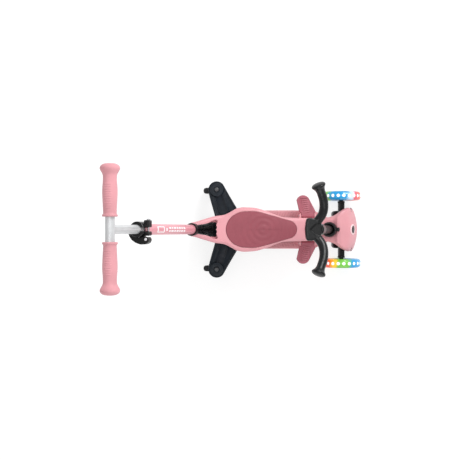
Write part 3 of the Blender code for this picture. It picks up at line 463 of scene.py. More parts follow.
def loose(shape, matrix=WORLD):
    """An object made of the shape; it gets its name when it is shown, or only helps to make another."""
    bmesh.ops.recalc_face_normals(shape, faces=shape.faces[:])
    mesh = bpy.data.meshes.new("loose")
    shape.to_mesh(mesh)
    shape.free()
    mesh.transform(matrix)
    return placed("loose", mesh)


def baked(item):
    """Applies the object's modifiers to its mesh."""
    bpy.context.view_layer.update()
    graph = bpy.context.evaluated_depsgraph_get()
    mesh = bpy.data.meshes.new_from_object(item.evaluated_get(graph))
    item.modifiers.clear()
    item.data = mesh
    return item


def mended(item):
    """Welds the slivers that cutting leaves and closes the pinholes beside them."""
    shape = bmesh.new()
    shape.from_mesh(item.data)
    bmesh.ops.remove_doubles(shape, verts=shape.verts, dist=0.000008)
    bmesh.ops.dissolve_degenerate(shape, edges=shape.edges, dist=0.000004)
    bmesh.ops.holes_fill(shape, edges=[edge for edge in shape.edges if edge.is_boundary], sides=12)
    shape.to_mesh(item.data)
    shape.free()


def combined(item, others, operation, place):
    """Joins or cuts the object with objects, or with shapes at the place."""
    others = [other if isinstance(other, bpy.types.Object) else loose(other, place) for other in others]
    for other in others:
        modify(item, "BOOLEAN", operation=operation, solver="EXACT", object=other)
    mended(baked(item))
    for other in others:
        bpy.data.objects.remove(other, do_unlink=True)


def joined(item, others, place=WORLD):
    combined(item, others, "UNION", place)


def cut(item, others, place=WORLD):
    combined(item, others, "DIFFERENCE", place)


def gathered(item, others):
    """Adds the meshes of others to the object's mesh, overlaps and all."""
    shape = bmesh.new()
    for source in [item] + others:
        shape.from_mesh(source.data)
    shape.to_mesh(item.data)
    shape.free()
    for other in others:
        bpy.data.objects.remove(other, do_unlink=True)


def added(shape, solid):
    """Adds a finished small solid to a shape that gathers many."""
    bmesh.ops.recalc_face_normals(solid, faces=solid.faces[:])
    mesh = bpy.data.meshes.new("solid")
    solid.to_mesh(mesh)
    solid.free()
    shape.from_mesh(mesh)
    bpy.data.meshes.remove(mesh)


def modify(item, kind, **settings):
    settled(item.modifiers.new("step", kind), settings)


def softened(item, voxel, passes=4):
    """Melts joined shapes into one moulded skin with small fillets."""
    modify(item, "REMESH", mode="VOXEL", voxel_size=voxel)
    modify(item, "SMOOTH", factor=0.5, iterations=passes)
    return baked(item)


def eased(item, width, segments=2, angle=38):
    """Rounds the sharp edges that cutting has left."""
    modify(item, "BEVEL", width=width, segments=segments, limit_method="ANGLE",
           angle_limit=math.radians(angle), use_clamp_overlap=True)
    return baked(item)


def shown(item, node, title=None, look=None, sharp=40, replaces=True):
    """Names the piece, gives it its finish and lets it ride with its node's body."""
    item.name = title or node + "_fine"
    item.data.name = item.name
    slot_name = SLOT_OF[node]
    item.data.materials.clear()
    item.data.materials.append(MATERIALS[look or slot_name])
    item.data.shade_smooth()
    item.data.set_sharp_from_angle(angle=math.radians(sharp))
    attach(item, BODY_OF[node])
    if replaces:
        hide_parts(node)
    return item


def piece(node, shape, matrix=WORLD, **options):
    return shown(loose(shape, matrix), node, **options)


def extra(title, node, shape, matrix=WORLD, **options):
    """A piece beside the one that stands for the node."""
    return piece(node, shape, matrix, title=title, replaces=False, **options)


def cad_shape(node):
    """The CAD solid of a node, with its corner points welded."""
    shape = bmesh.new()
    shape.from_mesh(NODES[node].data)
    bmesh.ops.remove_doubles(shape, verts=shape.verts, dist=WELD)
    return shape


def refined(node, width=0.0006, segments=2, look=None):
    """A finer copy of a plain CAD solid: coplanar faces are merged and every edge is rounded."""
    shape = cad_shape(node)
    bmesh.ops.dissolve_limit(shape, angle_limit=math.radians(1.0), verts=shape.verts, edges=shape.edges)
    shown(eased(loose(shape), width, segments, 30), node, look=look, sharp=35)


def moulded(node, voxel, passes=4):
    """A smooth moulded skin over a CAD solid."""
    shown(softened(loose(cad_shape(node)), voxel, passes), node, title=node + "_skin", sharp=70)


def spun(node, profile, place=WORLD, steps=72, closed=True, round_by=0.0008, **options):
    """A turned piece from its profile in millimetres."""
    return piece(node, turned(profile, closed, steps, round_by), place, **options)


def wheel_place(place, side=1):
    """A frame whose Z runs outwards along the axle."""
    return Matrix.Translation(place) @ Matrix.Rotation(-math.pi / 2 * side, 4, "X")


# ---- deck and rear wheel

DECK_LEFT_HALF = metres([(262, 0), (262, 34), (248, 37, 20), (228, 47, 30), (208, 57.5, 30), (185, 59.5, 50),
                         (45, 59.5, 30), (10, 48, 30), (-14, 33, 20), (-100, 33, 4), (-106, 28, 2),
                         (-136, 28, 3.8), (-136, 20, 3.8), (-84, 20, 4), (-84, 0)])


def build_deck():
    half = rounded(DECK_LEFT_HALF, 0.003, closed=False, count=8)
    deck = loose(slab(both_sides(half[::-1]), 0.062, DECK_TOP, edge=0.003))
    joined(deck, [block((-0.1357, s * 0.0205, 0.032), (-0.108, s * 0.0275, 0.07), 0.0025) for _, s in SIDES])
    cut(deck, [rod(0.0043, (REAR.x, -0.04, REAR.z), (REAR.x, 0.04, REAR.z)),
               rod(0.0018, (-0.094, -0.0285, 0.0805), (-0.094, 0.0285, 0.0805))])
    shown(deck, "deck", title="deck_body", sharp=35)
    build_deck_ribs()
    refined("deck_undertray", 0.0015, 3)


def build_deck_ribs():
    """Slanting grip ribs in a strip along each side of the deck's top, coloured darker than the deck as painted
    shade.
    """
    ribs = bmesh.new()
    pitch, half_width, height, depth = 0.0082, 0.0016, 0.0011, 0.0004
    slant = Vector((0.42, 1.0)).normalized()
    across = Vector((slant.y, -slant.x)) * half_width
    for _, side in SIDES:
        for k in range(18):
            start = Vector((0.047 + pitch * k, 0.04))
            end = start + slant * 0.015
            corners = [start + across, end + across, end - across, start - across]
            outline = rounded(mirrored(corners, side), 0.0014, count=3)
            added(ribs, slab(outline, DECK_TOP - depth, DECK_TOP + height, 0.0006, 2, floor_edge=0.0))
    extra("deck_grip_ribs", "deck", ribs, look="pink_rib_painted_shade")


def build_rear_wheel():
    spun("rear_wheel",
         two_faced([(40, 6, 3), (37.5, 11.8, 3), (33.5, 13.9), (29, 13.2), (26.8, 10.8), (18, 12), (10, 18.4),
                    (4.4, 18.4)]), wheel_place(REAR), steps=96)
    for node in ("rear_axle", "brake_pin"):
        refined(node, 0.0003)
    refined("rear_brake")


# ---- front wheels and truck

def build_front():
    moulded("truck_base", 0.001)
    refined("tie_rod", 0.0004)
    for name, side in SIDES:
        centre = wheel_place((AXLE.x, side * AXLE.y, AXLE.z), side)
        spun(name + "_tyre",
             two_faced([(60.5, 3, 6), (59, 8.8, 4), (55.6, 12.6, 3), (51.4, 14, 1.5), (42, 13)]),
             centre, steps=128, look=name + "_tyre_lit")
        build_core(name, centre)
        spun(name + "_wheel_bearing", two_faced([(11, 3.5), (4.2, 3.5)]), centre, steps=48, round_by=0.0004,
             title=name + "_bearing_fine")
        spun(name + "_hub_cap",
             [(0, 13.4), (7.5, 13, 4), (14, 10.4, 2), (15.2, 7.9), (9.1, 7.9), (8.6, 10.6), (0, 10.9)],
             centre, steps=64, closed=False)
        spun(name + "_axle_bolt", [(0, 8.3), (6.6, 8.3), (6.8, 3.8), (3.9, 3.8), (3.9, -29.4), (0, -29.4)],
             centre, steps=40, closed=False, round_by=0.0004)
        moulded(name + "_knuckle", 0.0008)
        refined(name + "_kingpin", 0.0004)
        build_centring_spring(name, side)


def build_core(name, centre):
    """The wheel's core with five wide spokes between hub and rim."""
    core = loose(turned(two_faced([(41.7, 12.4), (38.5, 12.4), (37.2, 5), (18, 5), (15.8, 7.2), (11.4, 7.2)]),
                        steps=96))
    windows = []
    for k in range(5):
        middle = 72 * k
        outer = arc((0, 0), 0.035, middle - 25, middle + 25, 10)
        outline = rounded(outer + arc((0, 0), 0.02, middle + 17, middle - 17, 6), 0.002, count=3)
        windows.append(slab(outline, -0.02, 0.02, edge=0.0))
    cut(core, windows)
    core.data.transform(centre)
    shown(core, name + "_wheel_core", title=name + "_core_fine", sharp=35)


def build_centring_spring(name, side):
    """A short wire coil round the kingpin's upper end, in the space of its CAD ring."""
    low, high, turns, count = 0.0231, 0.0262, 2.6, 90
    path = []
    for k in range(count + 1):
        a = 2 * math.pi * turns * k / count
        path.append(Vector((0.0086 * math.cos(a), side * KINGPIN.y + 0.0086 * math.sin(a),
                            low + (high - low) * k / count)))
    coil = sweep(path, [0.00058] * len(path), sides=10)
    piece(name + "_centring_spring", coil, TRUCK, title=name + "_spring_coil", sharp=60)


# ---- nose shell

NOSE_HALF_WIDTH = metres([(222.5, 36.5), (239.5, 38), (254.5, 41), (267.5, 45), (277.5, 50), (288.5, 57),
                          (300.5, 63.5), (311.5, 68)])
NOSE_LEVELS = metres([(45, 0, 0), (58, 0, 0), (78, 0.5, 8), (98, 3, 19), (110, 7, 28), (118, 13, 38),
                      (121, 22, 50)])
NOSE_HEIGHTS = (45, 52, 60, 68, 76, 83, 89, 95, 100, 104.5, 108, 111, 113.5, 115.5, 117.2, 118.5, 119.6,
                120.4, 121)    # in millimetres
NOSE_BOTTOM = 0.045
NOSE_APEX, NOSE_CENTRE = 0.3425, 0.262
NOSE_WALL = 0.0028


def nose_half():
    """The left half of the nose from above: a drawn side and a parabola across the front."""
    corner = metres([(320, 68.7), (325.8, 66.5), (330.3, 60)])
    side = smooth_line(NOSE_HALF_WIDTH + corner, 5)[:-1]
    ys = [corner[-1][1] * (1 - k / 16) for k in range(17)]
    return [tuple(point) for point in side] + [(NOSE_APEX - 0.0155 * (y / 0.068) ** 2, y) for y in ys]


def nose_rings(wall):
    half = nose_half()
    insets = [(h, i) for h, i, _ in NOSE_LEVELS]
    pulls = [(h, p) for h, _, p in NOSE_LEVELS]
    rings = []
    for height in NOSE_HEIGHTS:
        height /= 1000
        narrow = 1.0 - (table_line(insets, height) + wall) / 0.069
        shrink = 1.0 - (table_line(pulls, height) + wall) / (NOSE_APEX - NOSE_CENTRE)
        ring = []
        for x, y in half:
            lift = table_line([(0.235, 0.8), (0.2625, 0.9), (0.29, 1.0)], x)
            z = NOSE_BOTTOM + (height - NOSE_BOTTOM) * lift
            forward = NOSE_CENTRE + (x - NOSE_CENTRE) * (shrink if x > NOSE_CENTRE else 1.0)
            ring.append((forward + (wall if x < 0.23 else 0.0), y * narrow, z - wall))
        rings.append(ring + [(x, -y, z) for x, y, z in reversed(ring) if abs(y) > 1e-6])
    if wall:
        rings.insert(0, [(x, y, z - 0.01) for x, y, z in rings[0]])
    return rings


def build_nose():
    shell = loose(rings_shape(nose_rings(0.0), strips=True))
    bowl = rings_shape(nose_rings(NOSE_WALL), strips=True)
    neck = block((0.2, -0.09, 0.03), (0.2665, 0.09, DECK_TOP + 2 * GAP), 0)
    swing = block((0.24, -0.09, 0.03), (0.3225, 0.09, 0.0865), 0)
    collar = loose(rod(0.0228, (0, 0, -0.08), (0, 0, 0.02), 72), COLUMN)
    hole = loose(rod(0.0124, (0, 0, -0.02), (0, 0, 0.02), 64), LOCK)
    cut(shell, [bowl, neck, swing, collar, hole])
    eased(shell, 0.001, 3, 42)
    shown(shell, "nose_shell", sharp=50)
    spun("steering_lock_button",
         [(0, 2.6), (8.5, 2.4, 3), (11.3, 1, 1), (11.9, -1), (11.9, -9), (3.5, -9), (3.5, -24.5), (0, -24.5)],
         LOCK, closed=False, steps=64, title="lock_button_fine")
    # A raised ring round the lock button, coloured light pink as a painted highlight round the button.
    bezel = turned([(12.2, 1.4), (14.2, 1.7), (16.4, 0.6), (16.8, -2.4), (12.2, -2.4)], steps=64,
                   round_by=0.0004)
    extra("lock_bezel_painted_highlight", "nose_shell", bezel, LOCK, look="bezel_painted_highlight")


# ---- column and handlebar

BAR_LEFT = metres([(187.5, 116.5, 385), (194.8, 99, 379), (201.2, 81.3, 371), (203.6, 60.6, 361),
                   (200.2, 42.5, 354), (192, 29, 349), (181, 16, 346)])
COLUMN_TOP = 0.212
BAR_RADIUS = 0.0108
KNOB = metres([(0, -22), (11.2, -22), (12.2, -14), (14, -7), (16.8, -2), (19.6, 1), (20.3, 3), (19.8, 5.4),
               (17.8, 7.5), (13, 9.4), (6, 10.4), (0, 10.6)])
BAR_FLATNESS = 0.86                # the arms' height against their width


def build_column():
    collar = loose(turned([(20.8, 0), (22.5, -2.2), (22.5, -40.5), (12.6, -40.5), (12.6, -6.5), (15, -5.5),
                           (15.8, 0)], steps=96))
    cut(collar, [rod(0.0065, (0.0165, 0, -0.0125), (0.03, 0, -0.0125))])
    collar.data.transform(COLUMN)
    shown(collar, "column_collar")
    tube = rod(0.01225, (0, 0, -0.0385), (0, 0, COLUMN_TOP - 0.012), 72)
    piece("column_tube", tube, COLUMN, look="gloss_black_tube")
    button = rod(0.0061, (0.0205, 0, -0.0125), (0.0314, 0, -0.0125), 48, 0.0012)
    piece("column_release_button", button, COLUMN, title="column_button_fine")


def build_handlebar():
    """One moulding: a flat rear pad, two swept arms that meet in a vee, a column boss and end knobs."""
    hub = metres([(198.5, 0), (198.5, 14, 7), (186, 26.5, 12), (172, 32, 10), (157, 31.8, 7.5),
                  (154.5, 20, 20), (152.5, 0)])
    bar = loose(slab(both_sides(rounded(hub, 0.004, closed=False)), 0.3305, 0.3582, edge=0.004))
    path = smooth_line(BAR_LEFT, 6)[:-1]
    path += smooth_line([BAR_LEFT[-1], (0.1755, 0.006, 0.3447), (0.174, 0.0, 0.3445)], 3)
    path += [Vector((p.x, -p.y, p.z)) for p in reversed(path[:-1])]
    middle = (len(path) - 1) / 2
    radii = [BAR_RADIUS * (1.14 + 0.06 * (1 - abs(i - middle) / middle)) for i in range(len(path))]
    parts = [loose(sweep(path, radii, 36, flat=BAR_FLATNESS)),
             loose(rod(0.0163, (0, 0, COLUMN_TOP - 0.052), (0, 0, COLUMN_TOP), 64, 0.002), COLUMN)]
    for end, inner in ((path[0], path[2]), (path[-1], path[-3])):
        parts.append(loose(lathe(KNOB, closed=False, steps=64), aimed(end, (end - inner).normalized())))
    gathered(bar, parts)
    softened(bar, 0.00105, 14)
    recess = metres([(165.5, 0), (183, -16.5, 3), (210, -18.5), (210, 18.5), (183, 16.5, 3)])
    cut(bar, [slab(rounded(recess, 0.002), 0.3498, 0.38, edge=0.0)])
    softened(bar, 0.00105, 8)
    cut(bar, [rod(0.01255, (0, 0, 0.1), (0, 0, COLUMN_TOP - 0.0115), 64)], COLUMN)
    shown(bar, "ride_handlebar", sharp=60)


# ---- seat

SEAT_HALF = metres([(-168, 20), (-159.5, 21.5), (-131.5, 30), (-99.5, 39), (-73.5, 43), (-52, 53),
                    (-35.5, 62), (-14.5, 65.6), (14.5, 64), (49.5, 55), (79.5, 43), (104.5, 35.5),
                    (144.5, 34.2), (221.5, 34)])
SEAT_RISE = metres([(-168, 262), (-131.5, 250.5), (-99.5, 239), (-73.5, 231), (144.5, 218.5), (169.5, 210),
                    (189.5, 185), (206.5, 148), (221.5, 113)])
SEAT_BASE = metres([(-168, 228), (-131.5, 206), (-73.5, 184), (49.5, 180), (79.5, 172), (104.5, 158),
                    (134.5, 128), (144.5, 88.5), (221.5, 88.5)])
SEAT_START, SEAT_END = -0.168, 0.2215


def seat_section(x, place, wall, slab_depth, drop):
    half = table_line(SEAT_HALF, x) - wall
    top = table_line(SEAT_RISE, x) - slab_depth
    base = table_line(SEAT_BASE, x) - drop
    corner = min(0.01, half * 0.45, (top - base) * 0.45)
    side = [(half, base), (half, base + (top - base) * 0.35)]
    side += arc((half - corner, top - corner), corner, 0, 90, 6)
    side += [((half - corner) * share, top + 0.0012 * (1 - share * share)) for share in (0.75, 0.5, 0.25)]
    ring = side + [(0.0, top + 0.0012)] + [(-y, z) for y, z in reversed(side)]
    return [(place, y, z) for y, z in ring]


def seat_rings(wall=0.0, slab_depth=0.0, drop=0.0, margin=0.0):
    """Sections along the seat; the margin pulls the front end back."""
    rings = []
    for k in range(111):
        share = k / 110
        x = SEAT_START + (SEAT_END - SEAT_START) * share
        rings.append(seat_section(x, x - margin * share, wall, slab_depth, drop))
    return rings


def pad_outline(margin):
    """The pad's outline: a wide rounded rear, straight sides and a narrow round front."""
    turns = [math.radians(a) for a in range(0, 91, 3)]
    rear = [(-0.0085 - (0.059 + margin) * math.cos(a), (0.0525 + margin) * math.sin(a)) for a in turns]
    front = arc((0.1145, 0.0), 0.0265 + margin, 74, 0, 16)
    bridge = smooth_line([*rear[-2:], (0.03, 0.0507 + margin), *front[:2]], 26)
    return both_sides((rear[:-1] + [tuple(point) for point in bridge[26:79]] + front[1:])[::-1])


def tail_outline():
    """The opening round the pole socket: its front edge has a cusp in the middle and two lobes."""
    lobe = metres([(-96, 0), (-94.5, 2.5), (-93.5, 7), (-95, 11.2), (-93.5, 16), (-91.5, 22.5), (-93, 27.2),
                   (-98, 28.6), (-106, 26.2), (-122.5, 17.8), (-150, 13.5)])
    return both_sides([tuple(point) for point in smooth_line(lobe, 4)])


def build_tail_lining():
    """Slanted inner walls in the front corners of the opening, down to a narrow ledge."""
    corner = metres([(-94, 13), (-93.5, 16), (-91.5, 22.5), (-93, 27.2), (-98, 28.6), (-106, 26.2),
                     (-119, 19.6)])
    depth, ledge = 0.018, 0.0012
    for name, side in SIDES:
        rings = []
        for x, y in smooth_line(corner, 5):
            top = table_line(SEAT_RISE, x) - 0.003
            foot = top - depth
            slope = (min(x - 0.0002, -0.0945), side * min(y - 0.0002, 0.0228))
            edge = (min(x - 0.0008, -0.0955), side * min(y - 0.0008, 0.0214))
            back = (x + 0.001, side * (y + 0.0008))
            rings.append([(x, side * y, top), (*slope, foot), (*edge, foot), (*edge, foot - ledge),
                          (*back, foot - ledge), (*back, top)])
        extra(name + "_tail_lining", "seat_shell", rings_shape(rings), sharp=35)


def build_seat():
    shell = loose(rings_shape(seat_rings(), strips=True))
    low, high, reach = FOLD.z - 0.007, FOLD.z + 0.007, FOLD.y + 0.006
    joined(shell, [block((x, side * 0.0325, low), (x + 0.006, side * reach, high), 0.0015)
                   for _, side in SIDES for x in (FOLD.x - 0.026, FOLD.x + 0.02)])
    hollow = rings_shape(seat_rings(0.003, 0.0095, 0.012, 0.003), strips=True)
    well = slab(tail_outline(), 0.15, 0.3, edge=0.0)
    socket = loose(rod(0.018, (0, 0, 0), (0, 0, 0.25), 72), POLE)
    rim = loose(rod(0.0192, (0, 0, 0.169), (0, 0, 0.25), 72), POLE)
    pan = loose(slab(pad_outline(0.0006), -0.005, 0.02, edge=0.0), SEAT)
    pins = [rod(0.0028, (FOLD.x - 0.03, s * FOLD.y, FOLD.z), (FOLD.x + 0.03, s * FOLD.y, FOLD.z), 24)
            for _, s in SIDES]
    cut(shell, [hollow, well, socket, rim, pan] + pins)
    eased(shell, 0.0009, 3, 40)
    shown(shell, "seat_shell", sharp=50)
    build_tail_lining()
    build_pad()
    refined("seat_pedestal", 0.0015, 3)


def build_pad():
    """The soft pad: a crowned top with concentric ripples round its middle and a rolled edge."""
    outline = anticlockwise(pad_outline(0.0))
    centre_x, pitch, rim_top = 0.0415, 0.017, 0.0023
    edge = metres([(1.8, -4.7), (0.3, -4.4), (0, -3.5), (0, 0.4), (0.2, 1), (0.8, 1.8), (1.6, 2.3)])
    rings = [[(x, y, z) for x, y in inset(outline, distance)] for distance, z in edge]
    for k in range(1, 61):
        t = 1 - k / 61
        ring = []
        for x, y in inset(outline, 0.0016):
            middle = min(max(x, -0.01), 0.112)
            px, py = middle + (x - middle) * t, y * t
            reach = math.hypot(px - centre_x, py)
            fade = min(1.0, (1 - t) * 5) * max(0.0, 1 - reach / 0.105)
            ripple = -0.00085 * math.cos(2 * math.pi * reach / pitch) * fade
            ring.append((px, py, rim_top + ripple + 0.0024 * (1 - t * t)))
        rings.append(ring)
    shape = rings_shape(rings)
    bmesh.ops.remove_doubles(shape, verts=shape.verts, dist=0.00002)
    pad = piece("seat_pad", shape, SEAT, sharp=70)


# ---- footrests

def footrest_outline(x, y):
    root = [(x + 0.0195, y, 0.003), (x + 0.0195, y + 0.008, 0.003), (x + 0.0245, y + 0.012, 0.004)]
    tip = [(*point, 0.0) for point in arc((x - 0.014, 0.0835), 0.0205, 25, 165, 16)]
    rear = [(x - 0.0255, y + 0.012, 0.004), (x - 0.0195, y + 0.008, 0.003), (x - 0.0195, y, 0.003)]
    return rounded(root + tip + rear, 0.001, count=4)


def build_footrests():
    x, y, z = FOLD
    corners = [(x + 0.012, 0.048), (x + 0.006, 0.093), (x - 0.027, 0.096), (x - 0.019, 0.048)]
    for name, side in SIDES:
        rest = loose(slab(mirrored(footrest_outline(x, y), side), z - 0.006, z + 0.006, edge=0.0022))
        joined(rest, [rod(0.0061, (x - 0.0192, side * y, z), (x + 0.0192, side * y, z))])
        bore = rod(0.0028, (x - 0.04, side * y, z), (x + 0.04, side * y, z), 24)
        hollow = slab(mirrored(rounded(corners, 0.008), side), z + 0.0046, z + 0.02, edge=0.0)
        cut(rest, [bore, hollow])
        eased(rest, 0.0005, 2, 50)
        shown(rest, name + "_footrest")
        # The bars are coloured a lighter rose than the footrest, as a painted highlight where they catch the
        # light.
        bars = bmesh.new()
        for k in range(7):
            across, low, high = 0.0515 + 0.0062 * k, x - 0.0137 - 0.001 * k, x + 0.0047 - 0.001 * k
            outline = rounded([(low, across - 0.0014), (high, across + 0.001), (high, across + 0.0038),
                               (low, across + 0.0014)], 0.0013, count=3)
            outline = mirrored(outline, side)
            added(bars, slab(outline, z + 0.0042, z + 0.0064, 0.0008, 2, floor_edge=0.0))
        extra(name + "_footrest_ribs", name + "_footrest", bars, look="rose_rib_painted_highlight")
        refined(name + "_footrest_pin", 0.0003)


# ---- legs and casters

LEG_TOP = 0.1


def build_legs():
    refined("leg_carrier", 0.0012, 3)
    for name, side in SIDES:
        build_leg(name, side)
        build_caster(name)


def leg_outline():
    tip = arc((SWIVEL.x, SWIVEL.y), 0.0256, 40, 182, 30)
    return [(-0.021, 0.04), (-0.0345, 0.066), (-0.057, 0.104)] + tip + [(-0.1185, 0.1), (-0.1015, 0.04)]


def groove_outline(margin):
    """The oblong hollow in the leg's top, with a round inner end."""
    end, start = Vector((-0.076, 0.06)), Vector((SWIVEL.x + 0.006, SWIVEL.y - 0.02))
    along = (end - start).normalized()
    across = Vector((-along.y, along.x)) * (0.0115 + margin)
    angle = math.degrees(math.atan2(across.y, across.x))
    return [tuple(start - across), tuple(start + across)] + arc(end, 0.0115 + margin, angle, angle - 180, 20)


def build_leg(name, side):
    def layer(outline, low, high, **options):
        return slab(mirrored(outline, side), LEG_TOP + low, LEG_TOP + high, **options)

    place = Matrix.Translation((SWIVEL.x, side * SWIVEL.y, LEG_TOP))
    corners = leg_outline()
    soft = rounded([(*point, 0.02) for point in corners[:3]] + [(*point, 0) for point in corners[3:]], 0.0)
    leg = loose(layer(soft, -0.03, 0.0, edge=0.0024))
    cut(leg, [layer(inset(anticlockwise(corners), 0.0052), -0.0022, 0.01, edge=0.0)])
    joined(leg, [layer(groove_outline(0.003), -0.007, -0.0001, edge=0.0008, floor_edge=0.0)])
    cap_seat = loose(rod(0.0224, (0, 0, -0.003), (0, 0, 0.01), 72), place)
    hole = loose(rod(0.0043, (0, 0, -0.05), (0, 0, 0.02), 32), place)
    cut(leg, [layer(groove_outline(0.0), -0.0042, 0.01, edge=0.0), cap_seat, hole])
    eased(leg, 0.0005, 2, 40)
    shown(leg, name + "_leg", sharp=45)
    spun(name + "_swivel_cap",
         [(20.6, 1.5), (21.9, 0.4), (21.9, -2.7), (4.3, -2.7), (4.3, 0.4), (8, 0.4), (8.8, 1.2),
          (15, 0.9, 3)], place, round_by=0.0005)
    spun(name + "_swivel_bolt",
         [(0, 4.9), (4, 4.7, 2), (6.6, 3.5, 1.5), (6.8, 1.8), (4, 1.8), (4, -43.9), (0, -43.9)],
         place, steps=48, closed=False, round_by=0.0004, look="bolt_grey")


def build_caster(name):
    moulded(name + "_caster_fork", 0.0007, 3)
    refined(name + "_caster_axle", 0.0003)
    spun(name + "_caster_wheel",
         two_faced([(25, 2.2, 3), (22.8, 7, 3), (19, 9), (15, 7.8), (8, 8.6), (7, 9.7), (3.4, 9.7)]),
         wheel_place(JOINTS[name + "_caster_spin"]["pos_m"]), steps=80, round_by=0.0006)


# ---- push bar

SOCKET_END = 0.1795
CLAMP_LOW, CLAMP_HIGH = 0.5078, 0.5448
POLE_END = 0.52
MARK_TOP, MARK_BASE = 0.01405, 0.01395


def build_socket():
    socket = loose(rod(0.0175, (0, 0, -0.012), (0, 0, SOCKET_END - 0.004), 72), POLE)
    body = block((-0.0165, -0.0207, -0.014), (0.0185, 0.0207, 0.046), 0.003)
    rim = turned([(0, 179.5), (17.8, 179.5), (18.7, 178.3), (18.7, 170), (17, 169), (0, 169)],
                 closed=False, round_by=0.001)
    foot = loose(block((-0.1298, -0.026, 0.0988), (-0.085, 0.026, 0.1035), 0.0015))
    ribs = [block((0.015, s * 0.0085 - 0.0014, 0.05), (0.0186, s * 0.0085 + 0.0014, 0.1)) for _, s in SIDES]
    joined(socket, [body, rim, foot] + ribs, POLE)
    below = loose(block((-0.2, -0.06, 0.05), (0.0, 0.06, 0.0988), 0))
    bore = rod(0.0143, (0, 0, 0.022), (0, 0, 0.25), 72)
    pocket = rod(0.0058, (0.0162, 0, 0.03), (0.03, 0, 0.03))
    notches = []
    for _, side in SIDES:
        place = POLE @ Matrix.Translation((0.0175, side * 0.0125, 0.108))
        turn = Matrix.Rotation(side * math.radians(-38), 4, "X")
        notches.append(loose(block((-0.004, -0.0012, -0.009), (0.006, 0.0012, 0.009), 0), place @ turn))
    cut(socket, [below, bore, pocket] + notches, POLE)
    eased(socket, 0.0006, 2, 42)
    shown(socket, "rear_socket", sharp=45)
    piece("socket_release_button", rod(0.0055, (0.0184, 0, 0.03), (0.0231, 0, 0.03), 40, 0.0009), POLE,
          title="socket_button_fine")


def build_pole():
    spun("lower_pole", [(14, 520), (14, 22.5), (12.6, 22.5), (12.6, 520)], POLE, steps=96, round_by=0.0004)
    build_pole_marks()
    bar = loose(rod(0.0111, (0, 0, 0.33), (0, 0, BAR_S), 72), POLE)
    joined(bar, [rod(0.01112, (0, -0.146, BAR_S), (0, 0.146, BAR_S), 72, 0.0004)], POLE)
    cut(bar, [rod(0.0096, (0, 0, 0.32), (0, 0, BAR_S), 64),
              rod(0.0098, (0, -0.16, BAR_S), (0, 0.16, BAR_S), 64)], POLE)
    eased(bar, 0.0007, 2, 50)
    shown(bar, "t_bar")


def pole_patch(low, high, left, right):
    """A thin printed patch that wraps the pole from left to right and runs from low to high along it."""
    rings = []
    for k in range(9):
        a = (left + (right - left) * k / 8) / MARK_TOP
        corners = ((MARK_TOP, low), (MARK_TOP, high), (MARK_BASE, high), (MARK_BASE, low))
        rings.append([(r * math.cos(a), r * math.sin(a), s) for r, s in corners])
    return rings_shape(rings)


def build_pole_marks():
    """A plain printed pattern on the front of the pole: a square frame, a block and two rows of dashes."""
    middle, tall, wide = 0.4238, 0.0229, 0.0085
    frame_sides = ((-1, 1, -1, -0.68), (-1, 1, 0.68, 1), (-1, -0.74, -0.68, 0.68), (0.74, 1, -0.68, 0.68))
    patches = [(middle + low * tall, middle + high * tall, left * wide, right * wide)
               for low, high, left, right in frame_sides]
    patches.append((0.382, 0.392, -0.0034, 0.0034))
    for row, lengths in ((0.0041, (14, 9, 16, 11, 13, 10, 14)), (-0.0041, (10, 16, 11, 15, 9, 13, 12))):
        s = 0.371
        for length in lengths:
            patches.append((s - length / 1000, s, row - 0.0025, row + 0.0025))
            s -= length / 1000 + 0.0045
    marks = bmesh.new()
    for patch in patches:
        added(marks, pole_patch(*patch))
    extra("pole_marks", "lower_pole", marks, POLE, look="decal_white")
    dots = bmesh.new()
    for _, side in SIDES:
        a = math.radians(38) * side
        start = Vector((0.0137 * math.cos(a), 0.0137 * math.sin(a), 0.19))
        added(dots, rod(0.0014, start, start + Vector((math.cos(a), math.sin(a), 0)) * 0.0005, 16, 0.0002))
    extra("pole_rivets", "lower_pole", dots, POLE, look="rose_plastic")


def build_clamp():
    ledge = POLE_END + 0.004
    collar = loose(lathe(rounded(
        [(0.0178, CLAMP_HIGH, 0.002), (0.0195, CLAMP_HIGH - 0.0018, 0.002), (0.0195, CLAMP_LOW + 0.001),
         (0.0186, CLAMP_LOW), (0.0143, CLAMP_LOW), (0.0143, ledge), (0.0114, ledge), (0.0114, CLAMP_HIGH)],
        0.0007, count=3), True, 96), POLE)
    joined(collar, [block((0.0125, near, CLAMP_LOW + 0.002), (0.0265, far, CLAMP_LOW + 0.0225), 0.0025)
                    for near, far in ((-0.0048, -0.0155), (0.0048, 0.023))], POLE)
    bolt_s = (CLAMP_LOW + CLAMP_HIGH) / 2 - 0.0035
    cut(collar, [block((0.0105, -0.0046, CLAMP_LOW - 0.01), (0.04, 0.0046, CLAMP_HIGH + 0.01), 0),
                 rod(0.0028, (0.0225, -0.03, bolt_s), (0.0225, 0.03, bolt_s), 24)], POLE)
    eased(collar, 0.0006, 2, 42)
    shown(collar, "clamp_collar", sharp=45)
    refined("clamp_bolt", 0.0003)
    refined("clamp_lever_pin", 0.0006, 3, look="bright_pin")
    outer = metres([(27.8, -26.2, 4), (25.3, -32.5, 6), (18, -36.8, 10), (5, -37.4, 20), (-8, -33.3, 20),
                    (-19, -26, 20), (-26.2, -15, 20), (-28.5, -2, 20), (-25.8, 10, 3)])
    hug = [(*point, 0) for point in arc((0, 0), 0.0201, 162, 302, 28)]
    outline = rounded(outer + hug + [(0.015, -0.0186), (0.0258, -0.019)], 0.003)
    lever = loose(slab(outline, CLAMP_LOW + 0.006, CLAMP_HIGH - 0.011, edge=0.0011), POLE)
    pin = POLE.inverted() @ (sum(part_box("clamp_lever_pin"), Vector()) / 2)
    cut(lever, [rod(0.0039, (pin.x, pin.y, CLAMP_LOW - 0.01), (pin.x, pin.y, CLAMP_HIGH + 0.01))], POLE)
    shown(lever, "clamp_lever", sharp=45)


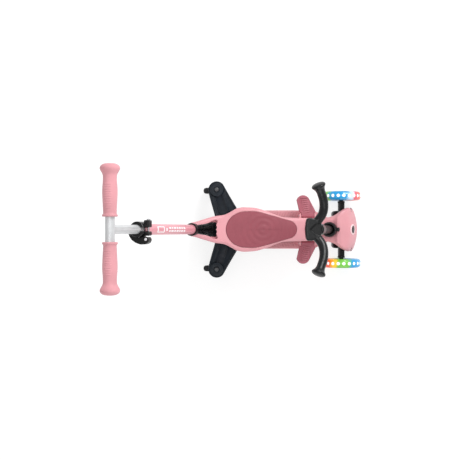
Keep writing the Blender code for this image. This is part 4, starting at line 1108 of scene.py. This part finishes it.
def grip_line():
    """The grip's profile: radius, height and how far the marks rise there, from 0 to 1."""
    swelling = metres([(40, 15.5), (60, 16.6), (88, 17.6), (108, 16.4), (118, 16), (123.5, 16.4), (128, 18),
                       (133, 21), (138.5, 23.4)])
    bulb = metres([(0, 151), (8, 150.8), (13.5, 150), (18, 148.2), (21.4, 145.2), (23, 142)])
    flange = metres([(15.5, 40), (15.5, 36.5), (16.2, 34.8), (17.7, 33.4), (18, 31.8), (17.9, 30.3),
                     (16.8, 29), (11.4, 29), (11.4, 146.5), (0, 146.5)])
    marks, mark_low, mark_high, bulb_foot = 11, 0.046, 0.106, 0.1385
    line = []
    for k in range(18):
        y = bulb_foot - (bulb_foot - mark_high) * k / 18
        line.append((table_line(swelling, y), y, 0))
    for k in range(marks * 10 + 1):
        share = k / (marks * 10)
        y = mark_high + (mark_low - mark_high) * share
        line.append((table_line(swelling, y), y, 0.5 - 0.5 * math.cos(2 * math.pi * marks * share)))
    return [(*point, 0) for point in bulb] + line + [(*point, 0) for point in flange]


def build_grips():
    """Soft grips: a bulb at the end, a long waist, a swelling with embossed marks on top, and a flange."""
    turns = [2 * math.pi * k / 96 for k in range(96)]
    for name, side in SIDES:
        place = POLE @ wheel_place((0, 0, BAR_S), side)
        facing = place.to_3x3().inverted() @ Vector((-0.22, 0, 1.0))
        middle = math.atan2(facing.y, facing.x)
        rings = []
        for radius, height, rise in grip_line():
            ring = []
            for a in turns if radius else [0]:
                off = abs((a - middle + math.pi) % (2 * math.pi) - math.pi)
                band = min(1.0, max(0.0, (math.radians(34) - off) / math.radians(7)))
                r = radius + 0.0007 * rise * band
                ring.append((r * math.cos(a), r * math.sin(a), height))
            rings.append(ring)
        piece(name + "_grip", rings_shape(rings), place, sharp=50)


# ---- stage, light and camera

def build_stage():
    mesh = bpy.data.meshes.new("floor")
    half = 6.0
    corners = [(-half, -half, 0), (half, -half, 0), (half, half, 0), (-half, half, 0)]
    mesh.from_pydata(corners, [], [(0, 1, 2, 3)])
    floor = placed("floor", mesh)
    paper, _, _ = new_surface("paper", {
        "Base Color": (0.3, 0.3, 0.3, 1), "Roughness": 1.0, "Specular IOR Level": 0.0,
        "Emission Color": (1, 1, 1, 1), "Emission Strength": 0.77})
    mesh.materials.append(paper)


def area_light(name, place, target, size, power):
    data = settled(bpy.data.lights.new(name, "AREA"), {"shape": "DISK", "size": size, "energy": power})
    turn = (Vector(target) - Vector(place)).to_track_quat("-Z", "Y").to_euler()
    settled(placed(name, data), {"location": place, "rotation_euler": turn})


def build_light():
    world = bpy.data.worlds.new("studio")
    world.use_nodes = True
    background = world.node_tree.nodes["Background"]
    background.inputs["Color"].default_value = (1, 1, 1, 1)
    seen = made(world.node_tree, "ShaderNodeLightPath", {}, "Is Camera Ray")
    link(world.node_tree, spread(world.node_tree, seen, 0.56, 0.95, 0.0, 1.0), background.inputs["Strength"])
    bpy.context.scene.world = world
    middle = (0, 0, 0.25)
    area_light("key", (1.05, 1.8, 1.9), middle, 1.4, 50)
    area_light("top", (-0.4, 0.2, 3.0), middle, 1.8, 16)
    area_light("low_fill", (0.5, -2.3, 1.3), middle, 2.0, 18)


def build_camera():
    """A camera straight above the object."""
    data = settled(bpy.data.cameras.new("camera"), {"lens": 63.5, "sensor_width": 36})
    camera = placed("camera", data)
    camera.location = (-0.0555, -0.0015, 2.6)
    bpy.context.scene.camera = camera


build_camera()
build_stage()
build_light()
build_deck()
build_rear_wheel()
build_front()
build_nose()
build_column()
build_handlebar()
build_seat()
build_footrests()
build_legs()
build_socket()
build_pole()
build_clamp()
build_grips()

for node, cad in NODES.items():
    if not cad.hide_render:
        cad.data.materials.clear()
        cad.data.materials.append(MATERIALS[SLOT_OF[node]])
